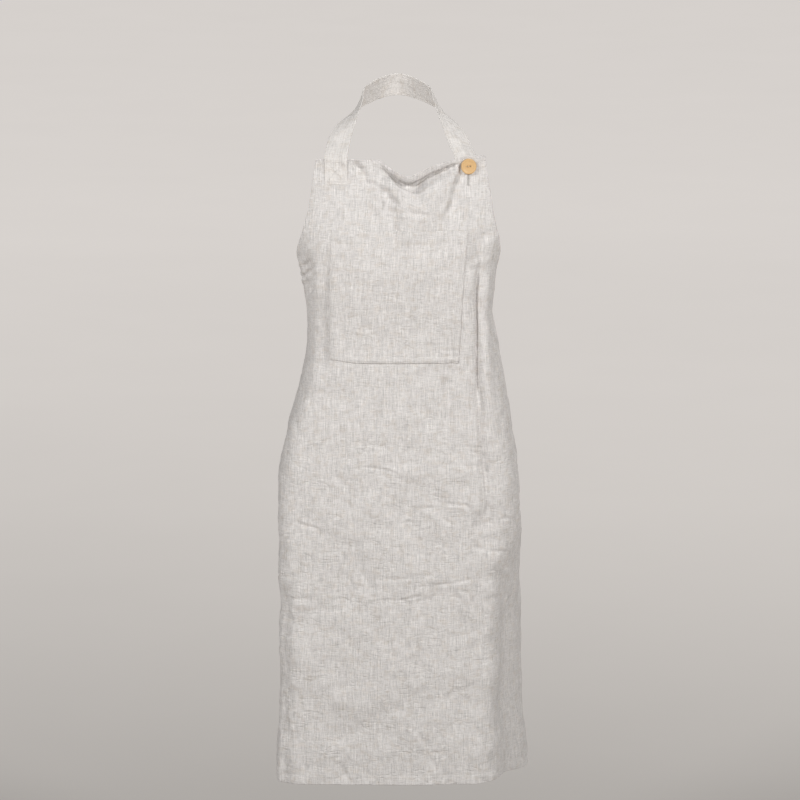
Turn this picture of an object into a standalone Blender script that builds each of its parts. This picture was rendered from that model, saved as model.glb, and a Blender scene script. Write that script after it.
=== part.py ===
"""Bib apron of linen, in the form it takes when it is worn.

One cloth panel makes the bib and the skirt. A patch pocket is sewn on its front. A neck strap is sewn on
the bib's left corner, runs round the back of the neck and buttons behind the bib's right corner. Waist
ties run from the ends of the armhole curves to a bow at the back.

Metres, +Z up, front towards -Y, left and right as seen from the front. The origin is where the neck strap
bears on the back of the neck, in the middle of its inner face. Cloth is laid out in two lengths:
`across`, measured along the cloth from the middle of the front, and `drop`, measured down from the bib's
top edge.
"""
import math

import bmesh
import bpy
import numpy as np
from mathutils import Matrix, Vector

# Panel
PANEL_LENGTH = 0.974
SKIRT_WIDTH = 0.66
BIB_WIDTH = 0.257
ARMHOLE_DEPTH = 0.21
ARMHOLE_FLARE = 0.19
ARMHOLE_CURVE = 5.5
BIB_TOP = -0.096
CLOTH = 0.0014
HEM_CLOTH = 0.0024
TOP_HEM = 0.010
SIDE_HEM = 0.010
BOTTOM_HEM = 0.013
CLEARANCE = 0.0003
SEAM_EASE = 0.0005

# Worn form that the cloth hangs in
FORM_WIDTH = 0.39
FORM_DEPTH = 0.124
NECK_RADIUS = 0.0535
SLUMP_DEPTH = 0.024
LIP_REACH = 0.034
LIP_STAND = 0.016
HANG_SHIFT = 0.0045

# Patch pocket
POCKET_WIDTH = 0.207
POCKET_HEIGHT = 0.204
POCKET_DROP = 0.104
POCKET_SHIFT = -0.0005
POCKET_SLANT = 0.009
POCKET_CLOTH = 0.0012
POCKET_EASE = 0.0002

# Neck strap
STRAP_WIDTH = 0.035
STRAP_CLOTH = 0.002
STRAP_LAP = 0.037
STRAP_INSET = 0.0135
BUTTONED_LAP = 0.042
BUTTONED_INSET = 0.011

# Button, its hole in the bib and its thread
BUTTON_DIAMETER = 0.0238
BUTTON_THICKNESS = 0.0034
BUTTON_INSET = 0.0283
BUTTON_DROP = 0.0128
EYE_DIAMETER = 0.0024
EYE_SPACING = 0.0042
THREAD = 0.001
BUTTONHOLE_LENGTH = 0.026
BUTTONHOLE_SLACK = 0.0002

# Waist ties and their bow
TIE_WIDTH = 0.028
TIE_CLOTH = 0.0016
TIE_LAP = 0.026
TIE_MARGIN = 0.004
TIE_STANDOFF = 0.016
KNOT_WIDTH = 0.026
KNOT_HEIGHT = 0.030
KNOT_DEPTH = 0.018
LOOP_LENGTH = 0.085
TAIL_LENGTH = 0.23

# Level sections of the worn form, from the bib's top down.
# drop: share of PANEL_LENGTH. front, back: shares of FORM_DEPTH. left, right: how far the side
# stands out, as shares of FORM_WIDTH. bend_left, bend_right: radius of the turn from front to side,
# shares of FORM_WIDTH. side, back: straight run and radius behind that turn, shares of FORM_DEPTH.
SECTION_COLUMNS = ("drop", "front", "left", "right", "bend_left", "bend_right", "side", "back")
SECTIONS = (
    (0.000, 0.71, 0.530, 0.530, 0.400, 0.400, 0.00, 1.00),
    (0.060, 0.83, 0.480, 0.485, 0.330, 0.330, 0.00, 0.95),
    (0.120, 0.94, 0.435, 0.437, 0.265, 0.265, 0.00, 0.90),
    (0.170, 0.97, 0.386, 0.388, 0.225, 0.220, 0.05, 0.80),
    (0.205, 0.96, 0.366, 0.378, 0.205, 0.200, 0.08, 0.76),
    (0.240, 0.94, 0.356, 0.372, 0.190, 0.190, 0.10, 0.76),
    (0.285, 0.92, 0.353, 0.393, 0.180, 0.185, 0.14, 0.79),
    (0.350, 0.93, 0.380, 0.416, 0.150, 0.170, 0.22, 0.85),
    (0.470, 0.97, 0.449, 0.466, 0.110, 0.150, 0.36, 0.94),
    (0.560, 0.99, 0.472, 0.484, 0.090, 0.140, 0.42, 0.97),
    (0.735, 1.00, 0.464, 0.495, 0.080, 0.140, 0.46, 0.97),
    (0.880, 1.00, 0.474, 0.500, 0.076, 0.140, 0.48, 0.97),
    (1.000, 1.00, 0.484, 0.525, 0.072, 0.140, 0.48, 0.97),
)
FRONT_BOW = math.radians(5)

# The bib's top edge, which slumps between the straps and lets the cloth under it buckle forwards.
# across: share of BIB_WIDTH. sag: how far the edge sinks, share of SLUMP_DEPTH. lip: cloth from the
# edge to the lip, share of LIP_REACH. stand: how far the lip stands out, share of LIP_STAND.
# slack: how far the lip itself hangs, share of SLUMP_DEPTH.
SLUMP_COLUMNS = ("across", "sag", "lip", "stand", "slack")
SLUMP = (
    (-0.130, 0.00, 0.60, 0.00, 0.00),
    (-0.070, 0.42, 0.62, 0.45, 0.02),
    (0.000, 0.85, 0.92, 0.88, 0.08),
    (0.055, 1.00, 1.00, 1.00, 0.20),
    (0.095, 0.82, 1.00, 1.00, 0.36),
    (0.170, 0.42, 0.78, 0.85, 0.18),
    (0.250, 0.14, 0.55, 0.42, 0.06),
    (0.320, 0.02, 0.45, 0.06, 0.00),
    (0.355, -0.02, 0.40, 0.00, 0.00),
    (0.385, -0.18, 0.40, 0.00, 0.00),
    (0.500, -0.22, 0.40, 0.00, 0.00),
)

# Folds of the panel, each along a line from its upper end to its lower end. They turn the section's
# heading, so the cloth keeps its length.
# across values: shares of SKIRT_WIDTH. drop values: shares of PANEL_LENGTH. width: half width, share of
# SKIRT_WIDTH. rise: height out of the cloth, negative for a valley, share of FORM_DEPTH.
FOLD_COLUMNS = ("across_top", "drop_top", "across_end", "drop_end", "width", "rise")
FOLDS = (
    (0.189, 0.18, 0.186, 0.40, 0.0170, -0.070),
    (0.222, 0.19, 0.220, 0.42, 0.0180, 0.040),
    (0.196, 0.39, 0.216, 0.60, 0.0130, -0.035),
    (0.122, 0.28, 0.112, 0.46, 0.0150, -0.030),
    (0.196, 0.56, 0.176, 0.86, 0.0200, -0.030),
    (0.312, 0.62, 0.310, 1.25, 0.0600, -0.420),
    (-0.170, 0.16, -0.172, 0.33, 0.0170, -0.030),
    (-0.127, 0.16, -0.129, 0.28, 0.0170, -0.022),
    (0.124, 0.07, 0.100, 0.14, 0.0150, -0.026),
    (-0.096, 0.03, -0.064, 0.09, 0.0150, -0.030),
    (-0.262, 0.66, -0.268, 1.08, 0.0150, -0.040),
    (-0.214, 0.15, -0.244, 0.22, 0.0180, -0.045),
)
FOLD_FADE = 0.30

# The neck strap's free run over each shoulder, from the bib up and round to the back of the neck.
# out: sideways, share of NECK_RADIUS. back: behind the neck's axis, share of NECK_RADIUS. up: height,
# share of the bib's depth below the origin. in_x, in_y, in_z: way from its outer to its inner edge.
STRAP_COLUMNS = ("run", "out", "back", "up", "in_x", "in_y", "in_z")
STRAP_LEFT = (
    (0.24, 1.64, -1.16, -0.727, 0.97, -0.14, 0.05),
    (0.48, 1.40, -0.64, -0.453, 0.86, -0.34, 0.36),
    (0.68, 1.18, -0.12, -0.291, 0.58, -0.36, 0.72),
    (0.84, 1.04, 0.28, -0.180, 0.30, -0.24, 0.92),
)
STRAP_RIGHT = (
    (0.24, 1.74, -1.16, -0.744, 0.98, -0.12, 0.05),
    (0.48, 1.46, -0.64, -0.471, 0.86, -0.34, 0.36),
    (0.68, 1.21, -0.12, -0.291, 0.58, -0.36, 0.72),
    (0.84, 1.05, 0.28, -0.180, 0.30, -0.24, 0.92),
)
NAPE_TILT = 0.2

# A bow's loop and tail, as seen from behind, from the knot and back to it.
# out, down: shares of LOOP_LENGTH or TAIL_LENGTH. back: share of KNOT_DEPTH. flare: share of TIE_WIDTH.
BOW_COLUMNS = ("run", "out", "down", "back", "flare")
LOOP = (
    (0.00, 0.00, 0.00, -0.06, 0.42),
    (0.16, 0.34, 0.08, 0.22, 0.76),
    (0.36, 0.80, 0.30, 0.40, 1.00),
    (0.50, 1.00, 0.46, 0.80, 1.00),
    (0.64, 0.80, 0.36, 1.40, 1.00),
    (0.84, 0.34, 0.10, 1.25, 0.76),
    (1.00, 0.00, 0.00, 0.26, 0.42),
)
TAIL = (
    (0.00, 0.000, 0.00, 0.00, 0.36),
    (0.18, 0.060, 0.18, 0.22, 0.80),
    (0.45, 0.110, 0.45, 0.10, 1.00),
    (0.75, 0.130, 0.75, -0.20, 1.00),
    (1.00, 0.160, 1.00, -0.10, 1.00),
)

# Mesh density. The spreads run from one edge of a strap or tie to the other.
POCKET_COLUMNS = 16
SIDE_COLUMNS = 13
ARMHOLE_ROW = 0.0125
SKIRT_ROW = 0.045
STRAP_SPREAD = np.array([-1.0, -0.4, 0.4, 1.0])
TIE_SPREAD = np.array([-1.0, -0.35, 0.35, 1.0])
SECTION_STEP = 0.002
NORMAL_STEP = 0.002


def clear_scene():
    for item in list(bpy.data.objects):
        bpy.data.objects.remove(item, do_unlink=True)


def named_column(rows, names, name):
    """One named column of a table, as an array."""
    return np.array([row[names.index(name)] for row in rows], float)


def smooth(amount):
    """Eases 0..1 in and out, held flat outside it."""
    amount = np.clip(amount, 0.0, 1.0)
    return amount * amount * (3.0 - 2.0 * amount)


def through(places, values, at):
    """Smooth curve through the values at the given places that never overshoots them, flat past its ends."""
    step = np.diff(places)
    slope = np.diff(values) / step
    tangent = np.zeros(len(places))
    product = slope[1:] * slope[:-1]
    total = slope[1:] + slope[:-1]
    same_way = product > 0
    tangent[1:-1][same_way] = 2.0 * product[same_way] / total[same_way]
    at = np.clip(at, places[0], places[-1])
    left = np.clip(np.searchsorted(places, at) - 1, 0, len(places) - 2)
    part = (at - places[left]) / step[left]
    rest = 1.0 - part
    start = (1.0 + 2.0 * part) * rest ** 2 * values[left] + part * rest ** 2 * step[left] * tangent[left]
    end = part ** 2 * (3.0 - 2.0 * part) * values[left + 1]
    return start + end - part ** 2 * rest * step[left] * tangent[left + 1]


def half_width(drop):
    """Half the panel's flat width at a drop: a flared bib, then the armhole's curve, then the skirt."""
    down = np.clip(drop, 0.0, ARMHOLE_DEPTH)
    bib = BIB_WIDTH / 2 + ARMHOLE_FLARE * down
    curve = SKIRT_WIDTH / 2 - BIB_WIDTH / 2 - ARMHOLE_FLARE * ARMHOLE_DEPTH
    return bib + curve * (down / ARMHOLE_DEPTH) ** ARMHOLE_CURVE


def section_value(name, drop):
    places = named_column(SECTIONS, SECTION_COLUMNS, "drop") * PANEL_LENGTH
    return through(places, named_column(SECTIONS, SECTION_COLUMNS, name), drop)


def fold_turn(length, drop, way):
    """How far the folds turn the cloth at each length of one half section, away from the worn form."""
    turn = np.zeros(len(length))
    for across_top, drop_top, across_end, drop_end, width, rise in FOLDS:
        along = (drop / PANEL_LENGTH - drop_top) / (drop_end - drop_top)
        ends = smooth(along / FOLD_FADE + 0.5) * smooth((1.0 - along) / FOLD_FADE + 0.5)
        line = across_top + (across_end - across_top) * along
        off = (way * length / SKIRT_WIDTH - line) / width
        slope = rise * FORM_DEPTH / (width * SKIRT_WIDTH) * -2.0 * off * np.exp(-off * off)
        turn = turn + np.arctan(way * slope * ends)
    return turn


def half_section(drop, side, way):
    """One half of the level section at a drop: cloth length from the middle, and the way out and back."""
    reach = FORM_WIDTH * section_value(side, drop)
    radius = FORM_WIDTH * section_value("bend_" + side, drop)
    run = FORM_DEPTH * section_value("side", drop)
    back_arc = FORM_DEPTH * section_value("back", drop) * math.pi / 2
    corner_arc = radius * (math.pi / 2 - FRONT_BOW)
    length = np.arange(0.0, 0.62 * SKIRT_WIDTH, SECTION_STEP)
    turn = fold_turn(length, drop, way)
    front = reach - radius
    for _ in range(4):
        heading = FRONT_BOW * np.clip(length / front, 0.0, 1.0)
        heading = heading + (math.pi / 2 - FRONT_BOW) * smooth((length - front) / corner_arc)
        heading = heading + math.pi / 2 * np.clip((length - front - corner_arc - run) / back_arc, 0.0, 1.0)
        heading = heading - turn
        middle = (heading[1:] + heading[:-1]) / 2
        out = np.concatenate([[0.0], np.cumsum(np.cos(middle) * SECTION_STEP)])
        back = np.concatenate([[0.0], np.cumsum(np.sin(middle) * SECTION_STEP)])
        front = front + reach - out.max()
    return length, out, back


def slump_value(name, across):
    places = named_column(SLUMP, SLUMP_COLUMNS, "across") * BIB_WIDTH
    return through(places, named_column(SLUMP, SLUMP_COLUMNS, name), across)


def slump(across, drop):
    """How far the bib's top sinks and how far it stands forwards."""
    sag = SLUMP_DEPTH * slump_value("sag", across)
    slack = SLUMP_DEPTH * slump_value("slack", across)
    lip = LIP_REACH * slump_value("lip", across)
    stand = LIP_STAND * slump_value("stand", across)
    reached = np.minimum(drop / lip, 6.0)
    sink = sag + (slack - sag) * smooth((reached - 0.40) / 0.62)
    sink = sink * (1.0 - smooth((reached - 1.0) / 2.2))
    forwards = stand * smooth((reached - 0.34) / 0.84) * (1.0 - smooth((reached - 1.25) / 2.4))
    return sink, forwards


def worn_point(across, drop):
    """Place of the cloth's middle where it follows the worn form, for arrays of equal shape."""
    place = np.zeros(across.shape + (3,))
    for level in np.unique(drop):
        front = -FORM_DEPTH * section_value("front", level) - NECK_RADIUS
        hang = HANG_SHIFT * (1.0 - smooth(level / ARMHOLE_DEPTH * 1.6 - 0.6))
        for side, way in (("left", -1.0), ("right", 1.0)):
            here = (drop == level) & (across * way >= 0.0)
            length, out, back = half_section(level, side, way)
            far = np.abs(across[here])
            place[here, 0] = way * np.interp(far, length, out) + hang
            place[here, 1] = front + np.interp(far, length, back)
    place[..., 2] = BIB_TOP - drop
    return place


def cloth_point(across, drop):
    """Place of the cloth's middle, slumped bib top and all."""
    place = worn_point(across, drop)
    sink, forwards = slump(across, drop)
    place[..., 1] -= forwards
    place[..., 2] -= sink
    return place


def lifted(across, drop, lift, surface=cloth_point):
    """Places at a height out of the cloth's middle, on its outer side where lift is positive."""
    across, drop, lift = (np.array(part, float) for part in np.broadcast_arrays(across, drop, lift))
    sideways = surface(across + NORMAL_STEP, drop) - surface(across - NORMAL_STEP, drop)
    downwards = surface(across, drop + NORMAL_STEP) - surface(across, np.maximum(drop - NORMAL_STEP, 0.0))
    normal = np.cross(downwards, sideways)
    normal = normal / np.linalg.norm(normal, axis=-1, keepdims=True)
    return surface(across, drop) + normal * lift[..., None]


def make_material(name, colour, roughness):
    material = bpy.data.materials.new(name)
    material.use_nodes = True
    shader = material.node_tree.nodes["Principled BSDF"]
    shader.inputs["Base Color"].default_value = (*colour, 1.0)
    shader.inputs["Roughness"].default_value = roughness
    shader.inputs["Metallic"].default_value = 0.0
    return material


def add_object(name, mesh, material):
    item = bpy.data.objects.new(name, mesh)
    bpy.context.scene.collection.objects.link(item)
    mesh.materials.append(material)
    mesh.shade_smooth()
    mesh.set_sharp_from_angle(angle=math.radians(50))
    return item


def wall(name, outer, inner, material):
    """Closed cloth wall between an outer and an inner grid of points, rows by columns.

    Every cell is split along the same diagonal, so that walls laid in step never meet.
    """
    shape = bmesh.new()
    outer, inner = ([[shape.verts.new(point) for point in row] for row in grid] for grid in (outer, inner))
    rows, columns = len(outer), len(outer[0])
    for row in range(rows - 1):
        for col in range(columns - 1):
            here, below = (row, col), (row + 1, col)
            beside, across = (row, col + 1), (row + 1, col + 1)
            for corners in ((here, below, across), (here, across, beside)):
                shape.faces.new([outer[r][c] for r, c in corners])
                shape.faces.new([inner[r][c] for r, c in reversed(corners)])
    edge = [(0, col) for col in range(columns)]
    edge += [(row, columns - 1) for row in range(1, rows)]
    edge += [(rows - 1, col) for col in range(columns - 2, -1, -1)]
    edge += [(row, 0) for row in range(rows - 2, 0, -1)]
    for (r, c), (next_r, next_c) in zip(edge, edge[1:] + edge[:1]):
        shape.faces.new([outer[r][c], outer[next_r][next_c], inner[next_r][next_c]])
        shape.faces.new([outer[r][c], inner[next_r][next_c], inner[r][c]])
    bmesh.ops.recalc_face_normals(shape, faces=shape.faces)
    mesh = bpy.data.meshes.new(name)
    shape.to_mesh(mesh)
    shape.free()
    return add_object(name, mesh, material)


def cloth_wall(name, across, drop, lift, thickness, material):
    """Wall of cloth that follows the panel at a height over its middle."""
    outer = lifted(across, drop, lift + thickness / 2)
    inner = lifted(across, drop, lift - thickness / 2)
    return wall(name, outer, inner, material)


def ribbon_wall(name, middle, thickness, material):
    """Wall of a strap or tie round a grid of middle points."""
    normal = np.cross(np.gradient(middle, axis=0), np.gradient(middle, axis=1))
    normal = normal / np.linalg.norm(normal, axis=2, keepdims=True)
    return wall(name, middle + normal * thickness / 2, middle - normal * thickness / 2, material)


def cut_away(item, cutter):
    """Cuts a guide's shape out of an object, and keeps the guide out of the model."""
    cutter.hide_render = True
    cutter.display_type = "WIRE"
    cut = item.modifiers.new("Cut " + cutter.name, "BOOLEAN")
    cut.operation = "DIFFERENCE"
    cut.solver = "EXACT"
    cut.object = cutter


def tie_drop():
    return ARMHOLE_DEPTH + TIE_MARGIN + TIE_WIDTH / 2


def grid_rows():
    """Drops of the grid's rows: close over the slump, closer round armholes and ties than down the skirt."""
    slumped = TOP_HEM + LIP_REACH * np.array([0.0, 0.12, 0.24, 0.36, 0.48, 0.60, 0.74, 0.90, 1.15, 1.5, 2.0])
    pocket = (POCKET_DROP, POCKET_DROP + POCKET_HEIGHT)
    tied = tie_drop() + TIE_WIDTH / 2 + TIE_MARGIN
    marks = [slumped[-1], ARMHOLE_DEPTH, tied, PANEL_LENGTH - BOTTOM_HEM, PANEL_LENGTH]
    marks = np.unique(marks + [mark for mark in pocket if mark > slumped[-1]])
    rows = [0.0, TOP_HEM * 0.5, *slumped]
    for start, end in zip(marks, marks[1:]):
        step = ARMHOLE_ROW if start < tied else SKIRT_ROW
        rows += list(np.linspace(start, end, math.ceil((end - start) / step - 0.01) + 1)[1:])
    return np.array(rows)


def pocket_lines(drops):
    """Across values of the pocket's lines at each drop. The panel shares them, so both lie in step."""
    down = np.clip((drops - POCKET_DROP) / POCKET_HEIGHT, 0.0, 1.0)
    left = np.full(len(drops), POCKET_SHIFT - POCKET_WIDTH / 2)
    right = POCKET_SHIFT + POCKET_WIDTH / 2 - POCKET_SLANT * down
    bound = (half_width(drops) - SIDE_HEM) * 0.9
    left = np.maximum(left, -bound)
    right = np.minimum(right, bound)
    return left[:, None] + (right - left)[:, None] * np.linspace(0.0, 1.0, POCKET_COLUMNS)


def make_panel(material):
    drops = grid_rows()
    pocket = pocket_lines(drops)
    edge = half_width(drops)[:, None]
    hem = edge - SIDE_HEM
    share = np.linspace(0.0, 1.0, SIDE_COLUMNS)
    left = -hem + (pocket[:, :1] + hem) * share[None, :-1]
    right = pocket[:, -1:] + (hem - pocket[:, -1:]) * share[None, 1:]
    across = np.hstack([-edge, left, pocket, right, edge])
    drop = np.broadcast_to(drops[:, None], across.shape)
    hemmed = (np.abs(across) > edge - SIDE_HEM * 0.9) | (drop < TOP_HEM * 0.9)
    hemmed = hemmed | (drop > PANEL_LENGTH - BOTTOM_HEM * 0.9)
    thickness = np.where(hemmed, HEM_CLOTH, CLOTH)
    panel = cloth_wall("apron_panel", across, drop, 0.0, thickness, material)
    cut_away(panel, make_buttonhole())


def button_place():
    return half_width(BUTTON_DROP) - BUTTON_INSET


def cloth_frame(across, drop):
    """Matrix at a place on the cloth: +X across, +Y up along the cloth, +Z out of its outer side."""
    centre = Vector(lifted(across, drop, 0.0))
    out = (Vector(lifted(across, drop, 0.01)) - centre).normalized()
    sideways = Vector(cloth_point(across + 0.004, drop)) - Vector(cloth_point(across - 0.004, drop))
    sideways = (sideways - out * sideways.dot(out)).normalized()
    upwards = out.cross(sideways)
    turn = Matrix((sideways, upwards, out)).transposed().to_4x4()
    return Matrix.Translation(centre) @ turn


def make_buttonhole():
    """Guide for the slit: it starts just above the thread and runs straight down from it."""
    mesh = bpy.data.meshes.new("buttonhole_guide")
    shape = bmesh.new()
    bmesh.ops.create_cube(shape, size=1.0)
    shape.to_mesh(mesh)
    shape.free()
    middle = BUTTONHOLE_LENGTH / 2 - THREAD * 1.25 - CLEARANCE
    guide = bpy.data.objects.new("buttonhole_guide", mesh)
    bpy.context.scene.collection.objects.link(guide)
    gape = THREAD + 2 * (CLEARANCE + BUTTONHOLE_SLACK / 2)
    size = Matrix.Diagonal((gape, BUTTONHOLE_LENGTH, 0.02, 1.0))
    guide.matrix_world = cloth_frame(button_place(), BUTTON_DROP) @ Matrix.Translation((0.0, -middle, 0.0)) @ size
    return guide


def make_pocket(material):
    drops = grid_rows()
    drops = drops[(drops > POCKET_DROP - 1e-6) & (drops < POCKET_DROP + POCKET_HEIGHT + 1e-6)]
    across = pocket_lines(drops)
    drop = np.broadcast_to(drops[:, None], across.shape)
    lift = CLOTH / 2 + CLEARANCE + POCKET_EASE + POCKET_CLOTH / 2
    cloth_wall("patch_pocket", across, drop, lift, POCKET_CLOTH, material)


def lap_rows(across, drops, lift, runs, surface):
    """Rows of a strap's sewn or buttoned lap, lying on the cloth, each from its outer to its inner edge."""
    way = 1.0 if across < 0 else -1.0
    edges = across + way * STRAP_SPREAD * STRAP_WIDTH / 2
    return [(run, lifted(edges, drop, lift, surface)) for run, drop in zip(runs, drops)]


def shoulder_rows(table, way):
    """Rows of the strap's free run over one shoulder."""
    rows = []
    for run, out, back, up, in_x, in_y, in_z in table:
        middle = np.array([way * out * NECK_RADIUS, (back - 1.0) * NECK_RADIUS, -up * BIB_TOP])
        inwards = np.array([-way * in_x, in_y, in_z])
        inwards = inwards / np.linalg.norm(inwards) * STRAP_WIDTH / 2
        rows.append((run, middle + STRAP_SPREAD[:, None] * inwards))
    return rows


def ribbon_points(rows, count):
    """Grid of middle points along a ribbon, smooth through its rows."""
    runs = np.array([run for run, _ in rows])
    points = np.array([row for _, row in rows])
    at = np.linspace(runs[0], runs[-1], count)
    grid = np.empty((count,) + points.shape[1:])
    for place in np.ndindex(points.shape[1:]):
        grid[(slice(None), *place)] = through(runs, points[(slice(None), *place)], at)
    return grid


def make_neck_strap(material):
    on_cloth = HEM_CLOTH / 2 + CLEARANCE + SEAM_EASE + STRAP_CLOTH / 2
    left_across = -(BIB_WIDTH - STRAP_WIDTH) / 2 + STRAP_INSET
    right_across = (BIB_WIDTH - STRAP_WIDTH) / 2 - BUTTONED_INSET
    down = np.linspace(0.0, 1.0, 7)
    sewn = lap_rows(left_across, STRAP_LAP * (1.0 - down), on_cloth, -1.4 + 0.4 * down, cloth_point)
    buttoned = lap_rows(right_across, BUTTONED_LAP * down, -on_cloth, 1.0 + 0.4 * down, worn_point)
    left = [(run - 1.0, row) for run, row in shoulder_rows(STRAP_LEFT, -1.0)]
    right = [(1.0 - run, row) for run, row in shoulder_rows(STRAP_RIGHT, 1.0)]
    nape_in = np.array([0.0, -math.sin(NAPE_TILT), math.cos(NAPE_TILT)]) * STRAP_WIDTH / 2
    nape = np.array([0.0, STRAP_CLOTH / 2, 0.0]) + STRAP_SPREAD[:, None] * nape_in
    grid = ribbon_points(sewn + left + [(0.0, nape)] + right[::-1] + buttoned, 42)
    ribbon_wall("neck_strap", grid, STRAP_CLOTH, material)


def turned(name, profile, sides):
    """Closed turned solid round +Z from a profile of radius and height, both ends on the axis."""
    shape = bmesh.new()
    rings = []
    for radius, height in profile:
        ring = []
        for side in range(sides if radius > 0 else 1):
            angle = 2 * math.pi * side / sides
            ring.append(shape.verts.new((radius * math.cos(angle), radius * math.sin(angle), height)))
        rings.append(ring)
    for lower, upper in zip(rings, rings[1:]):
        for side in range(sides):
            after = (side + 1) % sides
            corners = [lower[side % len(lower)], lower[after % len(lower)]]
            corners += [upper[after % len(upper)], upper[side % len(upper)]]
            shape.faces.new(list(dict.fromkeys(corners)))
    bmesh.ops.recalc_face_normals(shape, faces=shape.faces)
    mesh = bpy.data.meshes.new(name)
    shape.to_mesh(mesh)
    shape.free()
    return mesh


def button_lift():
    """Height of the button's back above the middle of the cloth: its thread passes under it."""
    return HEM_CLOTH / 2 + THREAD + 2 * CLEARANCE


def make_button(material):
    radius = BUTTON_DIAMETER / 2
    thick = BUTTON_THICKNESS
    profile = (
        (0.0, 0.0),
        (radius * 0.86, 0.0),
        (radius, thick * 0.30),
        (radius, thick * 0.72),
        (radius * 0.93, thick),
        (radius * 0.80, thick),
        (radius * 0.66, thick * 0.80),
        (0.0, thick * 0.76),
    )
    place = cloth_frame(button_place(), BUTTON_DROP) @ Matrix.Translation((0.0, 0.0, button_lift()))
    button = add_object("button", turned("button", profile, 28), material)
    button.matrix_world = place
    for side in (-1.0, 1.0):
        eye_profile = ((0.0, -thick), (EYE_DIAMETER / 2, -thick), (EYE_DIAMETER / 2, 2 * thick), (0.0, 2 * thick))
        eye = bpy.data.objects.new("eye_guide", turned("eye_guide", eye_profile, 12))
        bpy.context.scene.collection.objects.link(eye)
        eye.matrix_world = place @ Matrix.Translation((side * EYE_SPACING / 2, 0.0, 0.0))
        cut_away(button, eye)
    return button


def tube(name, path, radius, sides, material):
    """Closed ring of round thread along a path that ends where it starts."""
    path = np.array(path)
    ahead = np.roll(path, -1, axis=0) - np.roll(path, 1, axis=0)
    ahead = ahead / np.linalg.norm(ahead, axis=1, keepdims=True)
    shape = bmesh.new()
    rings = []
    side_way = np.cross(ahead[0], (0.0, 1.0, 0.0))
    for point, way in zip(path, ahead):
        side_way = side_way - way * side_way.dot(way)
        side_way = side_way / np.linalg.norm(side_way)
        other = np.cross(way, side_way)
        angles = [2 * math.pi * side / sides for side in range(sides)]
        rings.append([shape.verts.new(point + radius * (side_way * math.cos(a) + other * math.sin(a)))
                      for a in angles])
    for ring, following in zip(rings, rings[1:] + rings[:1]):
        for side in range(sides):
            after = (side + 1) % sides
            shape.faces.new([ring[side], ring[after], following[after], following[side]])
    bmesh.ops.recalc_face_normals(shape, faces=shape.faces)
    mesh = bpy.data.meshes.new(name)
    shape.to_mesh(mesh)
    shape.free()
    return add_object(name, mesh, material)


def make_thread(material):
    """Thread through both eyes, then one leg above the other down the slit, ending before the strap."""
    face = BUTTON_THICKNESS * 0.78 + CLEARANCE + THREAD / 2
    under = -CLEARANCE - THREAD / 2
    foot = -button_lift() - HEM_CLOTH / 2 + THREAD / 2
    leg = EYE_SPACING / 2
    turn = THREAD * 0.65
    pair = THREAD * 0.75
    half = [(leg * 0.35, 0.0, face)]
    for angle in (90.0, 45.0, 0.0):
        bend = np.array([math.cos(math.radians(angle)), math.sin(math.radians(angle))]) * turn
        half.append((leg - turn + bend[0], 0.0, face - turn + bend[1]))
    for angle, apart in ((0.0, 0.0), (-45.0, 0.1), (-90.0, 0.25)):
        bend = np.array([math.cos(math.radians(angle)), math.sin(math.radians(angle))]) * turn
        half.append((leg - turn + bend[0], pair * apart, under + turn + bend[1]))
    for angle, apart in ((90.0, 0.75), (135.0, 0.9), (180.0, 1.0)):
        bend = np.array([math.cos(math.radians(angle)), math.sin(math.radians(angle))]) * turn
        half.append((turn + bend[0], pair * apart, under - turn + bend[1]))
    half.append((0.0, pair, foot + pair))
    half.append((0.0, pair * 0.7, foot + pair * 0.3))
    loop = half + [(0.0, 0.0, foot)] + [(-x, -y, z) for x, y, z in reversed(half)]
    thread = tube("button_thread", loop, THREAD / 2, 6, material)
    thread.matrix_world = cloth_frame(button_place(), BUTTON_DROP) @ Matrix.Translation((0.0, 0.0, button_lift()))


def knot_place():
    """Middle of the knot: behind the middle of the gap that the ties close."""
    edges = cloth_point(np.array([-SKIRT_WIDTH / 2, SKIRT_WIDTH / 2]), np.full(2, tie_drop()))
    middle = edges.mean(axis=0)
    return middle + np.array([0.0, TIE_STANDOFF, 0.0])


def tie_row(middle, up, flare):
    """Row of points across a tie, gathered and arched back where its flare is under one."""
    row = middle + TIE_SPREAD[:, None] * up * flare * TIE_WIDTH / 2
    row[:, 1] += KNOT_DEPTH * 0.2 * (1.0 - flare) * (1.0 - TIE_SPREAD ** 2)
    return row


def make_tie(way, name, knot, material):
    """One tie, from its lap on the panel's outer face to the side of the knot."""
    lift = HEM_CLOTH / 2 + CLEARANCE + SEAM_EASE + TIE_CLOTH / 2
    edge = SKIRT_WIDTH / 2
    drops = tie_drop() - TIE_SPREAD * TIE_WIDTH / 2
    rows = []
    for run, across in ((0.0, edge - TIE_LAP), (0.12, edge - TIE_LAP * 0.7), (0.24, edge - TIE_LAP * 0.35),
                        (0.36, edge)):
        rows.append((run, lifted(way * across, drops, lift)))
    start = rows[-1][1].mean(axis=0)
    finish = knot + np.array([way * (KNOT_WIDTH / 2 + CLEARANCE + TIE_CLOTH * 0.3), -KNOT_DEPTH * 0.32, 0.0])
    for run, share, flare in ((0.58, 0.36, 0.92), (0.80, 0.70, 0.66), (1.0, 1.0, 0.45)):
        place = start + (finish - start) * share
        place = place + np.array([0.0, TIE_STANDOFF * 0.35 * math.sin(math.pi * share), 0.0])
        rows.append((run, tie_row(place, np.array([0.0, 0.0, 1.0]), flare)))
    ribbon_wall(name, ribbon_points(rows, 14), TIE_CLOTH, material)


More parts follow.
